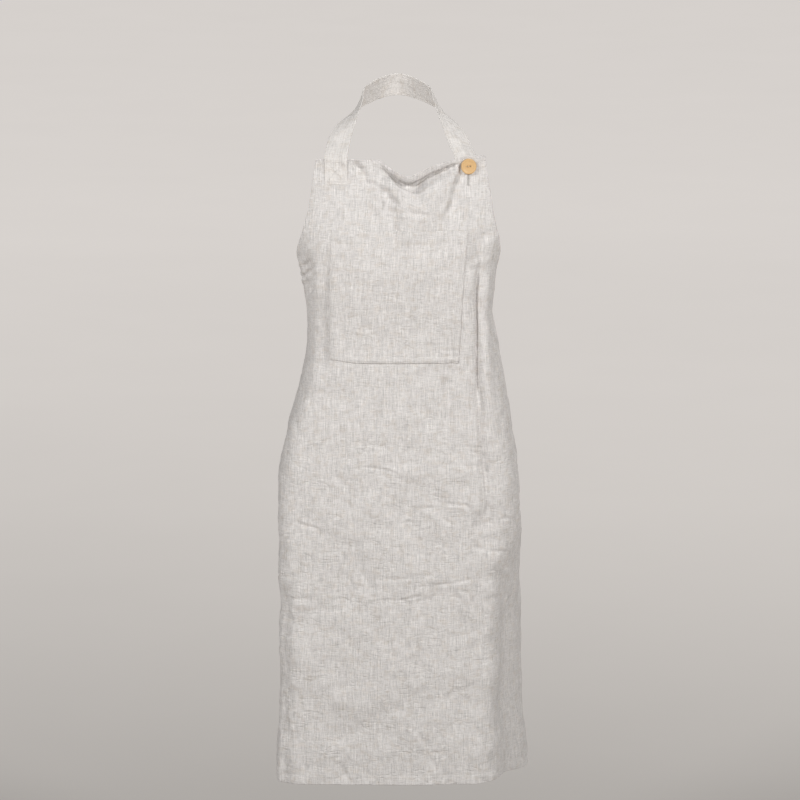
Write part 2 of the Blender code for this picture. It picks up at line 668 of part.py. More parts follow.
def bow_rows(table, way, length, start, up, leant):
    rows = []
    for run, out, down, back, flare in table:
        place = start + np.array([way * out * length, back * KNOT_DEPTH, -down * length])
        lean = up + (leant - up) * smooth(out * 4.0)
        rows.append((run, tie_row(place, lean, flare)))
    return rows


def make_loop(way, name, knot, material):
    start = knot + np.array([way * (KNOT_WIDTH / 2 + CLEARANCE + TIE_CLOTH * 0.3), 0.0, KNOT_HEIGHT * 0.06])
    rows = bow_rows(LOOP, way, LOOP_LENGTH, start, np.array([0.0, 0.0, 1.0]), np.array([way * 0.34, 0.0, 0.94]))
    ribbon_wall(name, ribbon_points(rows, 24), TIE_CLOTH, material)


def make_tail(way, name, knot, material):
    start = knot + np.array([way * KNOT_WIDTH * 0.24, 0.0, -KNOT_HEIGHT / 2 - CLEARANCE - TIE_CLOTH * 0.3])
    across = np.array([way, 0.0, 0.0])
    ribbon_wall(name, ribbon_points(bow_rows(TAIL, way, TAIL_LENGTH, start, across, across), 14), TIE_CLOTH, material)


def make_knot(knot, material):
    """The knot: a pillow with flat sides, so that every ribbon can end square against it."""
    rings = 9
    sides = 20
    shape = bmesh.new()
    levels = []
    for ring in range(rings):
        tilt = math.pi * ring / (rings - 1) - math.pi / 2
        level = []
        for side in range(sides if 0 < ring < rings - 1 else 1):
            turn = 2 * math.pi * side / sides
            ball = np.array([math.cos(tilt) * math.cos(turn), math.cos(tilt) * math.sin(turn), math.sin(tilt)])
            ball = ball / (np.abs(ball) ** 4.0).sum() ** 0.25
            level.append(shape.verts.new(knot + ball * (KNOT_WIDTH / 2, KNOT_DEPTH / 2, KNOT_HEIGHT / 2)))
        levels.append(level)
    for lower, upper in zip(levels, levels[1:]):
        for side in range(sides):
            after = (side + 1) % sides
            corners = [lower[side % len(lower)], lower[after % len(lower)]]
            corners += [upper[after % len(upper)], upper[side % len(upper)]]
            shape.faces.new(list(dict.fromkeys(corners)))
    bmesh.ops.recalc_face_normals(shape, faces=shape.faces)
    mesh = bpy.data.meshes.new("bow_knot")
    shape.to_mesh(mesh)
    shape.free()
    return add_object("bow_knot", mesh, material)


def make_all():
    clear_scene()
    linen = make_material("linen", (0.67, 0.64, 0.60), 0.92)
    strap_linen = make_material("linen_strap", (0.66, 0.63, 0.59), 0.92)
    wood = make_material("button_wood", (0.72, 0.49, 0.26), 0.5)
    thread = make_material("thread", (0.50, 0.38, 0.24), 0.8)
    make_panel(linen)
    make_pocket(linen)
    make_neck_strap(strap_linen)
    make_button(wood)
    make_thread(thread)
    knot = knot_place()
    make_knot(knot, strap_linen)
    for way, hand in ((-1.0, "left"), (1.0, "right")):
        make_tie(way, "waist_tie_" + hand, knot, strap_linen)
        make_loop(way, "bow_loop_" + hand, knot, strap_linen)
        make_tail(way, "bow_tail_" + hand, knot, strap_linen)


make_all()
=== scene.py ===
"""Looks of a bib apron of linen in its worn form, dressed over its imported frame.

The panel, its pocket, the neck strap, the ties and their bow are laid out again as fine cloth on the same
surface as the frame's solids, with hems, seams, stitches, creases and weave. The button and its thread are
turned and twined again with rounder edges.

Metres, +Z up, front towards -Y, left and right as seen from the front. Cloth is laid out in two lengths:
`across`, measured along the cloth from the middle of the front, and `drop`, measured down from the bib's
top edge.
"""
import math

import bpy
import numpy as np
from mathutils import Matrix, Vector


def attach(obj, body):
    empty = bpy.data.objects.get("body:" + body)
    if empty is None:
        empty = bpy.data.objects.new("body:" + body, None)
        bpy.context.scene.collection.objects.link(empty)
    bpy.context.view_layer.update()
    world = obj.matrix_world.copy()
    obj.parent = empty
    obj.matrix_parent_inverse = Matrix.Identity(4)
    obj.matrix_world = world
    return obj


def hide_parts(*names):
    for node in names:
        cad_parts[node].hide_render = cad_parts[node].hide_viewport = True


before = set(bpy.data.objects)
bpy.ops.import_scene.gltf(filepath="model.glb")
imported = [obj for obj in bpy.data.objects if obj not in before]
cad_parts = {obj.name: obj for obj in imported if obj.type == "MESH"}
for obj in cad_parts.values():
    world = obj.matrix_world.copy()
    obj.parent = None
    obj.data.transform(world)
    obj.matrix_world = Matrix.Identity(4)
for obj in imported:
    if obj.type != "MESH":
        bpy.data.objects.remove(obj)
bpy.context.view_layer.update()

# Panel
PANEL_LENGTH = 0.974
SKIRT_WIDTH = 0.66
BIB_WIDTH = 0.257
ARMHOLE_DEPTH = 0.21
ARMHOLE_FLARE = 0.19
ARMHOLE_CURVE = 5.5
BIB_TOP = -0.096
HEM_CLOTH = 0.0024
TOP_HEM = 0.010
SIDE_HEM = 0.010
BOTTOM_HEM = 0.013
CLEARANCE = 0.0003

# Worn form that the cloth hangs in. The lip rolls over most at ROLL_ACROSS, and the hem is drawn up at
# RISE_ACROSS.
FORM_WIDTH = 0.39
FORM_DEPTH = 0.124
NECK_RADIUS = 0.0535
SLUMP_DEPTH = 0.024
LIP_REACH = 0.039
LIP_STAND = 0.016
ROLL_ACROSS = 0.036
ROLL_RISE = 0.004
ROLL_STAND = 0.003
HANG_SHIFT = 0.0045
HEM_RISE = 0.0047
RISE_ACROSS = 0.183

# Patch pocket
POCKET_WIDTH = 0.207
POCKET_HEIGHT = 0.204
POCKET_DROP = 0.104
POCKET_SHIFT = -0.0005
POCKET_SLANT = 0.009
POCKET_DRAW = 0.0048

# Neck strap
STRAP_WIDTH = 0.035
STRAP_CLOTH = 0.002
STRAP_LAP = 0.037
STRAP_INSET = 0.0135
BUTTONED_LAP = 0.042
BUTTONED_INSET = 0.011

# Button, its hole in the bib and its thread
BUTTON_DIAMETER = 0.0238
BUTTON_THICKNESS = 0.0034
BUTTON_INSET = 0.0283
BUTTON_DROP = 0.0128
EYE_DIAMETER = 0.0024
EYE_SPACING = 0.0042
THREAD = 0.001
BUTTONHOLE_LENGTH = 0.026
BUTTON_LIFT = HEM_CLOTH / 2 + THREAD + 2 * CLEARANCE
SLIT_TOP = BUTTON_DROP - THREAD * 1.25 - CLEARANCE
SLIT_END = SLIT_TOP + BUTTONHOLE_LENGTH

# Waist ties and their bow
TIE_WIDTH = 0.028
TIE_CLOTH = 0.0016
TIE_LAP = 0.026
TIE_MARGIN = 0.004
TIE_DROP = ARMHOLE_DEPTH + TIE_MARGIN + TIE_WIDTH / 2
TIE_STANDOFF = 0.016
KNOT_WIDTH = 0.026
KNOT_HEIGHT = 0.030
KNOT_DEPTH = 0.018
LOOP_LENGTH = 0.085
TAIL_LENGTH = 0.23


def columns(names, *rows):
    """A table's columns by name, as arrays."""
    return dict(zip(names.split(), np.array(rows).T))


# Level sections of the worn form, from the bib's top down.
# drop: share of PANEL_LENGTH. front, back: shares of FORM_DEPTH. left, right: how far the side
# stands out, as shares of FORM_WIDTH. bend_left, bend_right: radius of the turn from front to side,
# shares of FORM_WIDTH. side, back: straight run and radius behind that turn, shares of FORM_DEPTH.
SECTIONS = columns(
    "drop front left right bend_left bend_right side back",
    (0.000, 0.71, 0.530, 0.530, 0.400, 0.400, 0.00, 1.00),
    (0.060, 0.83, 0.480, 0.485, 0.330, 0.330, 0.00, 0.95),
    (0.120, 0.94, 0.435, 0.437, 0.265, 0.265, 0.00, 0.90),
    (0.170, 0.97, 0.386, 0.388, 0.225, 0.220, 0.05, 0.80),
    (0.205, 0.96, 0.366, 0.378, 0.205, 0.200, 0.08, 0.76),
    (0.240, 0.94, 0.356, 0.372, 0.190, 0.190, 0.10, 0.76),
    (0.285, 0.92, 0.353, 0.393, 0.180, 0.185, 0.14, 0.79),
    (0.350, 0.93, 0.380, 0.416, 0.150, 0.170, 0.22, 0.85),
    (0.470, 0.97, 0.449, 0.466, 0.110, 0.150, 0.36, 0.94),
    (0.560, 0.99, 0.472, 0.484, 0.090, 0.170, 0.42, 0.97),
    (0.735, 1.00, 0.464, 0.495, 0.080, 0.245, 0.46, 0.97),
    (0.880, 1.00, 0.474, 0.500, 0.076, 0.249, 0.48, 0.97),
    (1.000, 1.00, 0.484, 0.525, 0.072, 0.249, 0.48, 0.97),
)
FRONT_BOW = math.radians(5)

# The bib's top edge, which slumps between the straps and lets the cloth under it buckle forwards.
# across: share of BIB_WIDTH. sag: how far the edge sinks, share of SLUMP_DEPTH. lip: cloth from the
# edge to the lip, share of LIP_REACH. stand: how far the lip stands out, share of LIP_STAND.
# slack: how far the lip itself hangs, share of SLUMP_DEPTH.
SLUMP = columns(
    "across sag lip stand slack",
    (-0.130, 0.00, 0.60, 0.00, 0.00),
    (-0.070, 0.42, 0.62, 0.45, 0.02),
    (0.000, 0.85, 0.92, 0.88, 0.08),
    (0.055, 1.00, 1.00, 1.00, 0.20),
    (0.095, 0.82, 1.00, 1.00, 0.36),
    (0.170, 0.42, 0.84, 0.96, 0.22),
    (0.250, 0.14, 0.66, 0.74, 0.12),
    (0.310, 0.02, 0.50, 0.42, 0.04),
    (0.355, -0.02, 0.40, 0.00, 0.00),
    (0.385, -0.18, 0.40, 0.00, 0.00),
    (0.500, -0.22, 0.40, 0.00, 0.00),
)

# From the slumped edge over the gutter behind it to the lip: the hem is stiff and tips forwards.
# reached: share of the way to the lip. sink: share of the edge's own sag. forwards: share of the stand.
LIP = columns(
    "reached sink forwards",
    (0.00, 1.00, 0.38),
    (0.25, 1.00, 0.22),
    (0.40, 0.97, -0.56),
    (0.56, 0.93, -0.50),
    (0.74, 0.74, 0.20),
    (0.90, 0.30, 0.84),
    (1.02, 0.00, 1.00),
)

# Folds of the panel, each along a line from its upper end to its lower end: across and drop at the top,
# across and drop at the end, width and rise. They turn the section's heading, so the cloth keeps its length.
# across: shares of SKIRT_WIDTH. drop: shares of PANEL_LENGTH. width: half width, share of SKIRT_WIDTH.
# rise: height out of the cloth, negative for a valley, share of FORM_DEPTH.
FOLDS = (
    (0.195, 0.18, 0.193, 0.40, 0.0170, -0.066),
    (0.222, 0.19, 0.220, 0.42, 0.0180, 0.040),
    (0.196, 0.39, 0.214, 0.60, 0.0140, -0.048),
    (0.122, 0.28, 0.112, 0.46, 0.0150, -0.030),
    (0.196, 0.56, 0.176, 0.86, 0.0200, -0.030),
    (0.302, 0.66, 0.300, 1.30, 0.0619, -0.229),
    (-0.170, 0.16, -0.172, 0.33, 0.0170, -0.030),
    (-0.127, 0.16, -0.129, 0.28, 0.0170, -0.022),
    (0.124, 0.07, 0.100, 0.14, 0.0150, -0.026),
    (-0.096, 0.03, -0.064, 0.09, 0.0150, -0.030),
    (-0.262, 0.66, -0.268, 1.08, 0.0150, -0.040),
    (-0.214, 0.15, -0.244, 0.22, 0.0180, -0.045),
    # Finer folds than the solids carry
    (0.1930, 0.170, 0.1935, 0.365, 0.0058, -0.046),
    (0.1950, 0.400, 0.2050, 0.500, 0.0050, -0.022),
    (-0.250, 0.150, -0.205, 0.205, 0.0060, -0.016),
    (-0.268, 0.165, -0.222, 0.215, 0.0060, -0.018),
    (-0.230, 0.145, -0.186, 0.188, 0.0060, -0.012),
)
FOLD_FADE = 0.30

# Creases pressed into the cloth, each along a line between two places on it: across and drop at one end,
# across and drop at the other, half width, and height out of the cloth, negative for a valley.
CREASES = (
    (-0.0815, -0.0100, -0.0560, 0.0385, 0.0018, -0.0017),
    (-0.0770, -0.0100, -0.0520, 0.0340, 0.0060, -0.0046),
    (-0.0520, 0.0330, -0.0241, 0.0449, 0.0044, -0.0026),
    (-0.0241, 0.0449, -0.0068, 0.0628, 0.0046, -0.0026),
    (0.0113, 0.0700, 0.0414, 0.0770, 0.0040, -0.0022),
    (-0.0464, 0.0818, 0.0129, 0.0780, 0.0026, 0.0005),
    (0.0945, 0.0090, 0.0824, 0.0445, 0.0042, -0.0032),
    (0.0824, 0.0445, 0.0752, 0.0769, 0.0050, -0.0026),
    (0.0752, 0.0769, 0.0691, 0.0912, 0.0050, -0.0014),
    (0.1038, 0.0380, 0.1044, 0.0931, 0.0012, -0.0004),
    (0.1290, 0.1076, 0.1185, 0.1504, 0.0120, -0.0042),
    (-0.1400, 0.1580, -0.1500, 0.2040, 0.0110, -0.0056),
    (-0.1250, 0.1580, -0.1950, 0.1960, 0.0026, -0.0012),
    (-0.1210, 0.1700, -0.1800, 0.2020, 0.0036, -0.0018),
    (-0.1380, 0.1510, -0.1780, 0.1750, 0.0030, -0.0012),
    (-0.1270, 0.1850, -0.1600, 0.2100, 0.0024, -0.0010),
    (0.1216, 0.0967, 0.1330, 0.1180, 0.0022, -0.0014),
    (0.1260, 0.3900, 0.1256, 0.4276, 0.0030, -0.0019),
    (0.1363, 0.4670, 0.1366, 0.5406, 0.0026, -0.0016),
    (0.0740, 0.3120, 0.0807, 0.3961, 0.0040, -0.0013),
    (-0.0022, 0.3263, 0.0327, 0.3264, 0.0020, -0.0013),
    (-0.0511, 0.4679, -0.0038, 0.4755, 0.0024, -0.0015),
    (0.0023, 0.5551, 0.0236, 0.5552, 0.0020, -0.0009),
    (0.0604, 0.5226, 0.1093, 0.5310, 0.0024, -0.0012),
    (0.0053, 0.6768, 0.0375, 0.6706, 0.0022, -0.0012),
    (0.0560, 0.6549, 0.1149, 0.6468, 0.0022, -0.0012),
    (0.0177, 0.8751, 0.0440, 0.9076, 0.0028, -0.0017),
    (0.0518, 0.9207, 0.0689, 0.9209, 0.0020, -0.0010),
    (0.1654, 0.5507, 0.1950, 0.5570, 0.0024, -0.0016),
    (0.1178, 0.5979, 0.1750, 0.6060, 0.0024, -0.0013),
    (-0.1571, 0.5553, -0.1203, 0.5672, 0.0026, -0.0015),
    (-0.1761, 0.8255, -0.1624, 0.8954, 0.0030, 0.0015),
    (0.1050, 0.4380, 0.1300, 0.4400, 0.0020, -0.0010),
    (0.1070, 0.4450, 0.1280, 0.4475, 0.0018, -0.0008),
    (0.0709, 0.2887, 0.0941, 0.2888, 0.0018, -0.0008),
)
CREASE_FADE = 0.012
CREASE_WANDER = 0.35

# The neck strap's free run over each shoulder, from the bib up and round to the back of the neck: run, out,
# back, up and three parts of the way from its outer to its inner edge.
# out: sideways, share of NECK_RADIUS. back: behind the neck's axis, share of NECK_RADIUS. up: height,
# share of the bib's depth below the origin.
STRAP_LEFT = (
    (0.24, 1.64, -1.16, -0.727, 0.97, -0.14, 0.05),
    (0.48, 1.40, -0.64, -0.453, 0.86, -0.34, 0.36),
    (0.68, 1.18, -0.12, -0.291, 0.58, -0.36, 0.72),
    (0.84, 1.04, 0.28, -0.180, 0.30, -0.24, 0.92),
)
STRAP_RIGHT = (
    (0.24, 1.74, -1.16, -0.744, 0.98, -0.12, 0.05),
    (0.48, 1.46, -0.64, -0.471, 0.86, -0.34, 0.36),
    (0.68, 1.21, -0.12, -0.291, 0.58, -0.36, 0.72),
    (0.84, 1.05, 0.28, -0.180, 0.30, -0.24, 0.92),
)
NAPE_TILT = 0.2

# A bow's loop and tail, as seen from behind, from the knot and back to it: run, out, down, back and flare.
# out, down: shares of LOOP_LENGTH or TAIL_LENGTH. back: share of KNOT_DEPTH. flare: share of TIE_WIDTH.
LOOP = (
    (0.00, 0.00, 0.00, -0.06, 0.42),
    (0.16, 0.34, 0.08, 0.22, 0.76),
    (0.36, 0.80, 0.30, 0.40, 1.00),
    (0.50, 1.00, 0.46, 0.80, 1.00),
    (0.64, 0.80, 0.36, 1.40, 1.00),
    (0.84, 0.34, 0.10, 1.25, 0.76),
    (1.00, 0.00, 0.00, 0.26, 0.42),
)
TAIL = (
    (0.00, 0.000, 0.00, 0.00, 0.36),
    (0.18, 0.060, 0.18, 0.22, 0.80),
    (0.45, 0.110, 0.45, 0.10, 1.00),
    (0.75, 0.130, 0.75, -0.20, 1.00),
    (1.00, 0.160, 1.00, -0.10, 1.00),
)

# Fine cloth, its rounded edges, the step beside its turned hems, and its seams from the edges
CLOTH_THICK = 0.0009
HEM_THICK = 0.0016
POCKET_FOLDED = 0.0015
STRAP_THICK = 0.0017
TIE_THICK = 0.0013
POCKET_HEM = 0.008
MOUTH_HEM = 0.018
EDGE_ROUND = 0.0008
HEM_STEP = 0.0012
SLIT_GAPE = 0.0007
TOP_SEAM = 0.0085
BOTTOM_SEAM = 0.0120
SIDE_SEAM = 0.0088
POCKET_SEAMS = (0.0022, 0.0078)
MOUTH_SEAM = 0.0165
SEAM_GROOVE = 0.0008
RIBBON_SEAM = 0.82
RIBBON_END = 0.0006
STITCH_RADIUS = 0.00028
STITCH_PITCH = 0.0031
STITCH_GAP = 0.28

# Wrinkles of the washed cloth: seed, size across, size down, height on the bib, more height on the skirt.
WRINKLES = (
    (3, 0.060, 0.085, 0.0010, 0.0),
    (4, 0.024, 0.028, 0.0005, 0.0009),
    (9, 0.052, 0.040, 0.0006, 0.0018),
)
# Broken sharp lines, small grain, and the waves of strap and ties: seed, size across, size down, height.
BROKEN_LINES = (
    (81, 0.055, 0.030, 0.0016),
    (84, 0.030, 0.034, 0.0012),
    (87, 0.026, 0.018, 0.0010),
)
GRAIN = (
    (6, 0.0095, 0.0120, 0.00030),
    (7, 0.0210, 0.0070, 0.00020),
)
STRAP_WRINKLES = (
    (51, 0.030, 0.050, 0.0012),
    (52, 0.010, 0.018, 0.00030),
    (53, 0.006, 0.008, 0.00018),
)
TIE_WRINKLES = (
    (61, 0.030, 0.035, 0.0007),
    (62, 0.009, 0.014, 0.00025),
)
# Places with more of that grain: across, half width, drop, half height, amount.
ROUGH_PLACES = (
    (0.175, 0.03, 0.60, 0.08, 0.8),
    (-0.165, 0.025, 0.75, 0.20, 0.5),
)

# Steps of the sections, the normals and the table that the fine cloth is read from, and their reach.
# SECTION_REACH: length of a half section, share of SKIRT_WIDTH.
SECTION_STEP = 0.001
SECTION_REACH = 0.62
NORMAL_STEP = 0.002
TABLE_STEP = 0.002
TABLE_REACH = 0.354

# Rows and columns of the meshes
PANEL_ROWS = 301
PANEL_STEP = 0.0048
POCKET_ROWS = 84
POCKET_COLUMNS = 64
STRAP_ROWS = 420
TIE_ROWS = 110
LOOP_ROWS = 170
TAIL_ROWS = 190
KNOT_ROWS = 56
KNOT_COLUMNS = 97
# Windows of closer rows on the panel: middle, half height, step.
PANEL_WINDOWS = (
    (0.040, 0.046, 0.0017),
    (0.0090, 0.0018, 0.0009),
    (PANEL_LENGTH - 0.0125, 0.0022, 0.0011),
    (PANEL_LENGTH, 0.0012, 0.0007),
    (0.0, 0.0008, 0.0007),
    (0.180, 0.032, 0.0022),
)
# Columns on the panel: the deep fold's line, the last one before the rim and those in it. Then insets of
# the pocket's rows and columns from its edges, and shares of a ribbon's half width.
FOLD_LINE = 0.1280
RIM_INSET = 0.0112
EDGE_INSETS = np.array([0.0100, 0.0091, 0.0075, 0.0050, 0.0024, 0.0008, 0.0003, 0.0])
POCKET_INSETS = np.array([0.0004, 0.0010, 0.0016, 0.0022, 0.0028, 0.0040, 0.0070, 0.0078, 0.0086, 0.0100])
MOUTH_INSETS = np.array([0.0004, 0.0010, 0.0157, 0.0165, 0.0173, 0.0180, 0.0192])
RIBBON_EDGE = np.array([0.06, 0.14, 0.24, 0.34, 0.44, 0.54, 0.63, 0.70, 0.755, 0.79, 0.82, 0.85, 0.89, 0.93,
                        0.96, 0.985, 1.0])
FINE_SPREAD = np.concatenate([-RIBBON_EDGE[::-1], [0.0], RIBBON_EDGE])

# Colours, and the pitch of the weave
CLOTH_TONE = (0.720, 0.699, 0.687)
# Straps, ties and bow: the panel's own linen, painted about 7% lighter to stand in for light bounced onto
# them.
TAPE_TONE_PAINTED_LIGHTER = (0.775, 0.749, 0.728)
STITCH_TONE = (0.68, 0.66, 0.635)
THREAD_TONE = (0.86, 0.66, 0.42)
SLUB_TONE = (0.50, 0.43, 0.34)
WARM_TONE = (0.54, 0.45, 0.35)
PALE_TONE = (0.86, 0.85, 0.83)
WOOD_TONE = (0.78, 0.52, 0.25, 1.0)
RING_TONE = (0.60, 0.36, 0.15)
GRAIN_TONE = (0.55, 0.32, 0.13)
PORE_TONE = (0.36, 0.19, 0.07)
WEAVE = 0.0011

# Photograph's view, for a square picture
CAMERA_PLACE = (0.0038, -6.0535, 0.826)
CAMERA_PITCH = math.radians(12.33)
CAMERA_LENS = 178.245

# Light: name, place, aim, size, power, colour. The wall is the backdrop's tone.
LAMPS = (
    ("key", (-2.5, -3.3, 2.2), (0.0, -0.1, -0.4), 1.2, 115.0, (1.0, 0.995, 0.985)),
    ("fill", (3.0, -3.3, 2.3), (0.0, -0.1, -0.4), 1.3, 131.0, (1.0, 0.990, 0.975)),
    ("back", (0.8, 3.4, 2.6), (0.0, 0.0, -0.4), 1.6, 90.0, (1.0, 0.99, 0.98)),
)
WORLD_TONE = (1.0, 0.96, 0.91, 1.0)
WORLD_LIGHT = 0.05
WALL_TONE = (0.66, 0.635, 0.61, 1.0)

# Floor, and the painted light that it glows with: shares of eight metres from its middle, and tone
FLOOR_HEIGHT = -1.5
FLOOR_REACH = 90
FLOOR_GLOW = ((0.01, 0.02), (0.08, 0.03), (0.18, 0.13), (0.31, 0.25), (0.43, 0.335), (0.61, 0.485),
              (0.85, 0.602), (0.99, 0.610))


def smooth(amount):
    """Eases 0..1 in and out, held flat outside it."""
    amount = np.clip(amount, 0.0, 1.0)
    return amount * amount * (3.0 - 2.0 * amount)


def falling(amount):
    """Eases from 1 down to 0 over 0..1."""
    return 1.0 - smooth(amount)


def fading(along, length, fade):
    """1 along a line of that length, easing to 0 over a fade at both its ends."""
    return smooth(along / fade + 0.5) * smooth((length - along) / fade + 0.5)


def hump(value, centre, width):
    """1 at the centre, falling off softly on both sides."""
    return np.exp(-((value - centre) / width) ** 2)


def unit(ways):
    return ways / np.linalg.norm(ways, axis=-1, keepdims=True)


def length_along(path):
    """Length of a path of points up to each of them."""
    return np.append(0.0, np.cumsum(np.linalg.norm(np.diff(path, axis=0), axis=1)))


def grid_normals(grid):
    return unit(np.cross(np.gradient(grid, axis=0), np.gradient(grid, axis=1)))


def through(places, values, at):
    """Smooth curve through the values at the given places that never overshoots them, flat past its ends."""
    step = np.diff(places)
    slope = np.diff(values) / step
    tangent = np.zeros(len(places))
    product = slope[1:] * slope[:-1]
    same_way = product > 0
    tangent[1:-1][same_way] = 2.0 * product[same_way] / (slope[1:] + slope[:-1])[same_way]
    at = np.clip(at, places[0], places[-1])
    left = np.clip(np.searchsorted(places, at) - 1, 0, len(places) - 2)
    part = (at - places[left]) / step[left]
    rest = 1.0 - part
    start = (1.0 + 2.0 * part) * rest ** 2 * values[left] + part * rest ** 2 * step[left] * tangent[left]
    end = part ** 2 * (3.0 - 2.0 * part) * values[left + 1]
    return start + end - part ** 2 * rest * step[left] * tangent[left + 1]


def half_width(drop):
    """Half the panel's flat width at a drop: a flared bib, then the armhole's curve, then the skirt."""
    down = np.clip(drop, 0.0, ARMHOLE_DEPTH)
    bib = BIB_WIDTH / 2 + ARMHOLE_FLARE * down
    curve = SKIRT_WIDTH / 2 - BIB_WIDTH / 2 - ARMHOLE_FLARE * ARMHOLE_DEPTH
    return bib + curve * (down / ARMHOLE_DEPTH) ** ARMHOLE_CURVE


def section_value(name, drop):
    return through(SECTIONS["drop"] * PANEL_LENGTH, SECTIONS[name], drop)


def fold_turn(length, drop, way):
    """How far the folds turn the cloth at each length of one half section, away from the worn form."""
    turn = np.zeros(len(length))
    for across_top, drop_top, across_end, drop_end, width, rise in FOLDS:
        along = (drop / PANEL_LENGTH - drop_top) / (drop_end - drop_top)
        line = across_top + (across_end - across_top) * along
        off = (way * length / SKIRT_WIDTH - line) / width
        slope = rise * FORM_DEPTH / (width * SKIRT_WIDTH) * -2.0 * off * np.exp(-off * off)
        turn += np.arctan(way * slope * fading(along, 1.0, FOLD_FADE))
    return turn


def half_section(drop, side, way):
    """One half of the level section at a drop: cloth length from the middle, and the way out and back."""
    reach = FORM_WIDTH * section_value(side, drop)
    radius = FORM_WIDTH * section_value("bend_" + side, drop)
    run = FORM_DEPTH * section_value("side", drop)
    back_arc = FORM_DEPTH * section_value("back", drop) * math.pi / 2
    corner = math.pi / 2 - FRONT_BOW
    length = np.arange(0.0, SECTION_REACH * SKIRT_WIDTH, SECTION_STEP)
    turn = fold_turn(length, drop, way)
    front = reach - radius
    for _ in range(4):
        past = length - front
        heading = FRONT_BOW * np.clip(length / front, 0.0, 1.0) + corner * smooth(past / (radius * corner))
        heading += math.pi / 2 * np.clip((past - radius * corner - run) / back_arc, 0.0, 1.0) - turn
        middle = (heading[1:] + heading[:-1]) / 2
        out, back = (np.append(0.0, np.cumsum(part(middle) * SECTION_STEP)) for part in (np.cos, np.sin))
        front += reach - out.max()
    return length, out, back


def slump(across, drop):
    """How far the bib's top sinks and how far it stands forwards."""
    sag, lip, stand, slack = (through(SLUMP["across"] * BIB_WIDTH, SLUMP[name], across)
                              for name in ("sag", "lip", "stand", "slack"))
    reached = np.minimum(drop / (LIP_REACH * lip), 6.0)
    sink, forwards = (through(LIP["reached"], LIP[name], reached) for name in ("sink", "forwards"))
    sink = SLUMP_DEPTH * (slack + (sag - slack) * sink) * falling((reached - 1.02) / 2.2)
    forwards = LIP_STAND * stand * forwards * falling((reached - 1.25) / 2.4)
    roll = hump(across, ROLL_ACROSS, 0.009) * hump(reached, 0.70, 0.13)
    return sink - ROLL_RISE * roll, forwards + ROLL_STAND * roll


def worn_point(across, drop):
    """Place of the cloth's middle where it follows the worn form, for arrays of equal shape."""
    place = np.zeros(across.shape + (3,))
    for level in np.unique(drop):
        front = -FORM_DEPTH * section_value("front", level) - NECK_RADIUS
        hang = HANG_SHIFT * falling(level / ARMHOLE_DEPTH * 1.6 - 0.6)
        for side, way in (("left", -1.0), ("right", 1.0)):
            here = (drop == level) & (across * way >= 0.0)
            length, out, back = half_section(level, side, way)
            far = np.abs(across[here])
            place[here, 0] = way * np.interp(far, length, out) + hang
            place[here, 1] = front + np.interp(far, length, back)
    place[..., 2] = BIB_TOP - drop
    return place


def cloth_point(across, drop):
    """Place of the cloth's middle, slumped bib top and risen hem and all."""
    place = worn_point(across, drop)
    sink, forwards = slump(across, drop)
    place[..., 1] -= forwards
    place[..., 2] += HEM_RISE * hump(across, RISE_ACROSS, 0.034) * hump(PANEL_LENGTH - drop, 0.0, 0.05) - sink
    return place


def lifted(across, drop, lift, surface=cloth_point):
    """Places at a height out of the cloth's middle, on its outer side where lift is positive."""
    across, drop, lift = (np.array(part, float) for part in np.broadcast_arrays(across, drop, lift))
    sideways = surface(across + NORMAL_STEP, drop) - surface(across - NORMAL_STEP, drop)
    downwards = surface(across, drop + NORMAL_STEP) - surface(across, np.maximum(drop - NORMAL_STEP, 0.0))
    return surface(across, drop) + unit(np.cross(downwards, sideways)) * lift[..., None]


def read_table(table, row, col):
    """Smooth reading of a table at fractional rows and columns."""
    row, col = np.broadcast_arrays(np.asarray(row, float), np.asarray(col, float))
    row, col = (np.clip(part, 0.0, size - 1.001) for part, size in zip((row, col), table.shape))
    first_row, first_col = (np.floor(part).astype(int) for part in (row, col))

    def weights(part):
        square, cube = part * part, part ** 3
        return (-0.5 * part + square - 0.5 * cube, 1.0 - 2.5 * square + 1.5 * cube,
                0.5 * part + 2.0 * square - 1.5 * cube, 0.5 * cube - 0.5 * square)

    total = 0.0
    for row_step, row_weight in enumerate(weights(row - first_row)):
        r = np.clip(first_row + row_step - 1, 0, table.shape[0] - 1)
        for col_step, col_weight in enumerate(weights(col - first_col)):
            c = np.clip(first_col + col_step - 1, 0, table.shape[1] - 1)
            weight = row_weight * col_weight
            total = total + table[r, c] * (weight[..., None] if table.ndim == 3 else weight)
    return total


BUTTON_ACROSS = half_width(BUTTON_DROP) - BUTTON_INSET
LINES = np.arange(-TABLE_REACH, TABLE_REACH + TABLE_STEP / 2, TABLE_STEP)
LEVELS = np.arange(0.0, PANEL_LENGTH + 2.5 * TABLE_STEP, TABLE_STEP)
PLACES = cloth_point(*np.meshgrid(LINES, LEVELS))
NORMALS = grid_normals(PLACES)


def soft_noise(seed, across, drop, size_across, size_drop):
    """Seeded noise from -1 to 1, smooth over the given sizes."""
    shape = (int(1.2 / size_drop) + 6, int(1.0 / size_across) + 6)
    lattice = np.random.RandomState(seed).uniform(-1.0, 1.0, shape)
    return read_table(lattice, drop / size_drop + 2.0, (across + 0.45) / size_across + 2.0)


def wrinkles(table, across, drop):
    """A table's seeded noises, each at its sizes and height, in one sum."""
    return sum(height * soft_noise(seed, across, drop, *sizes) for seed, *sizes, height in table)


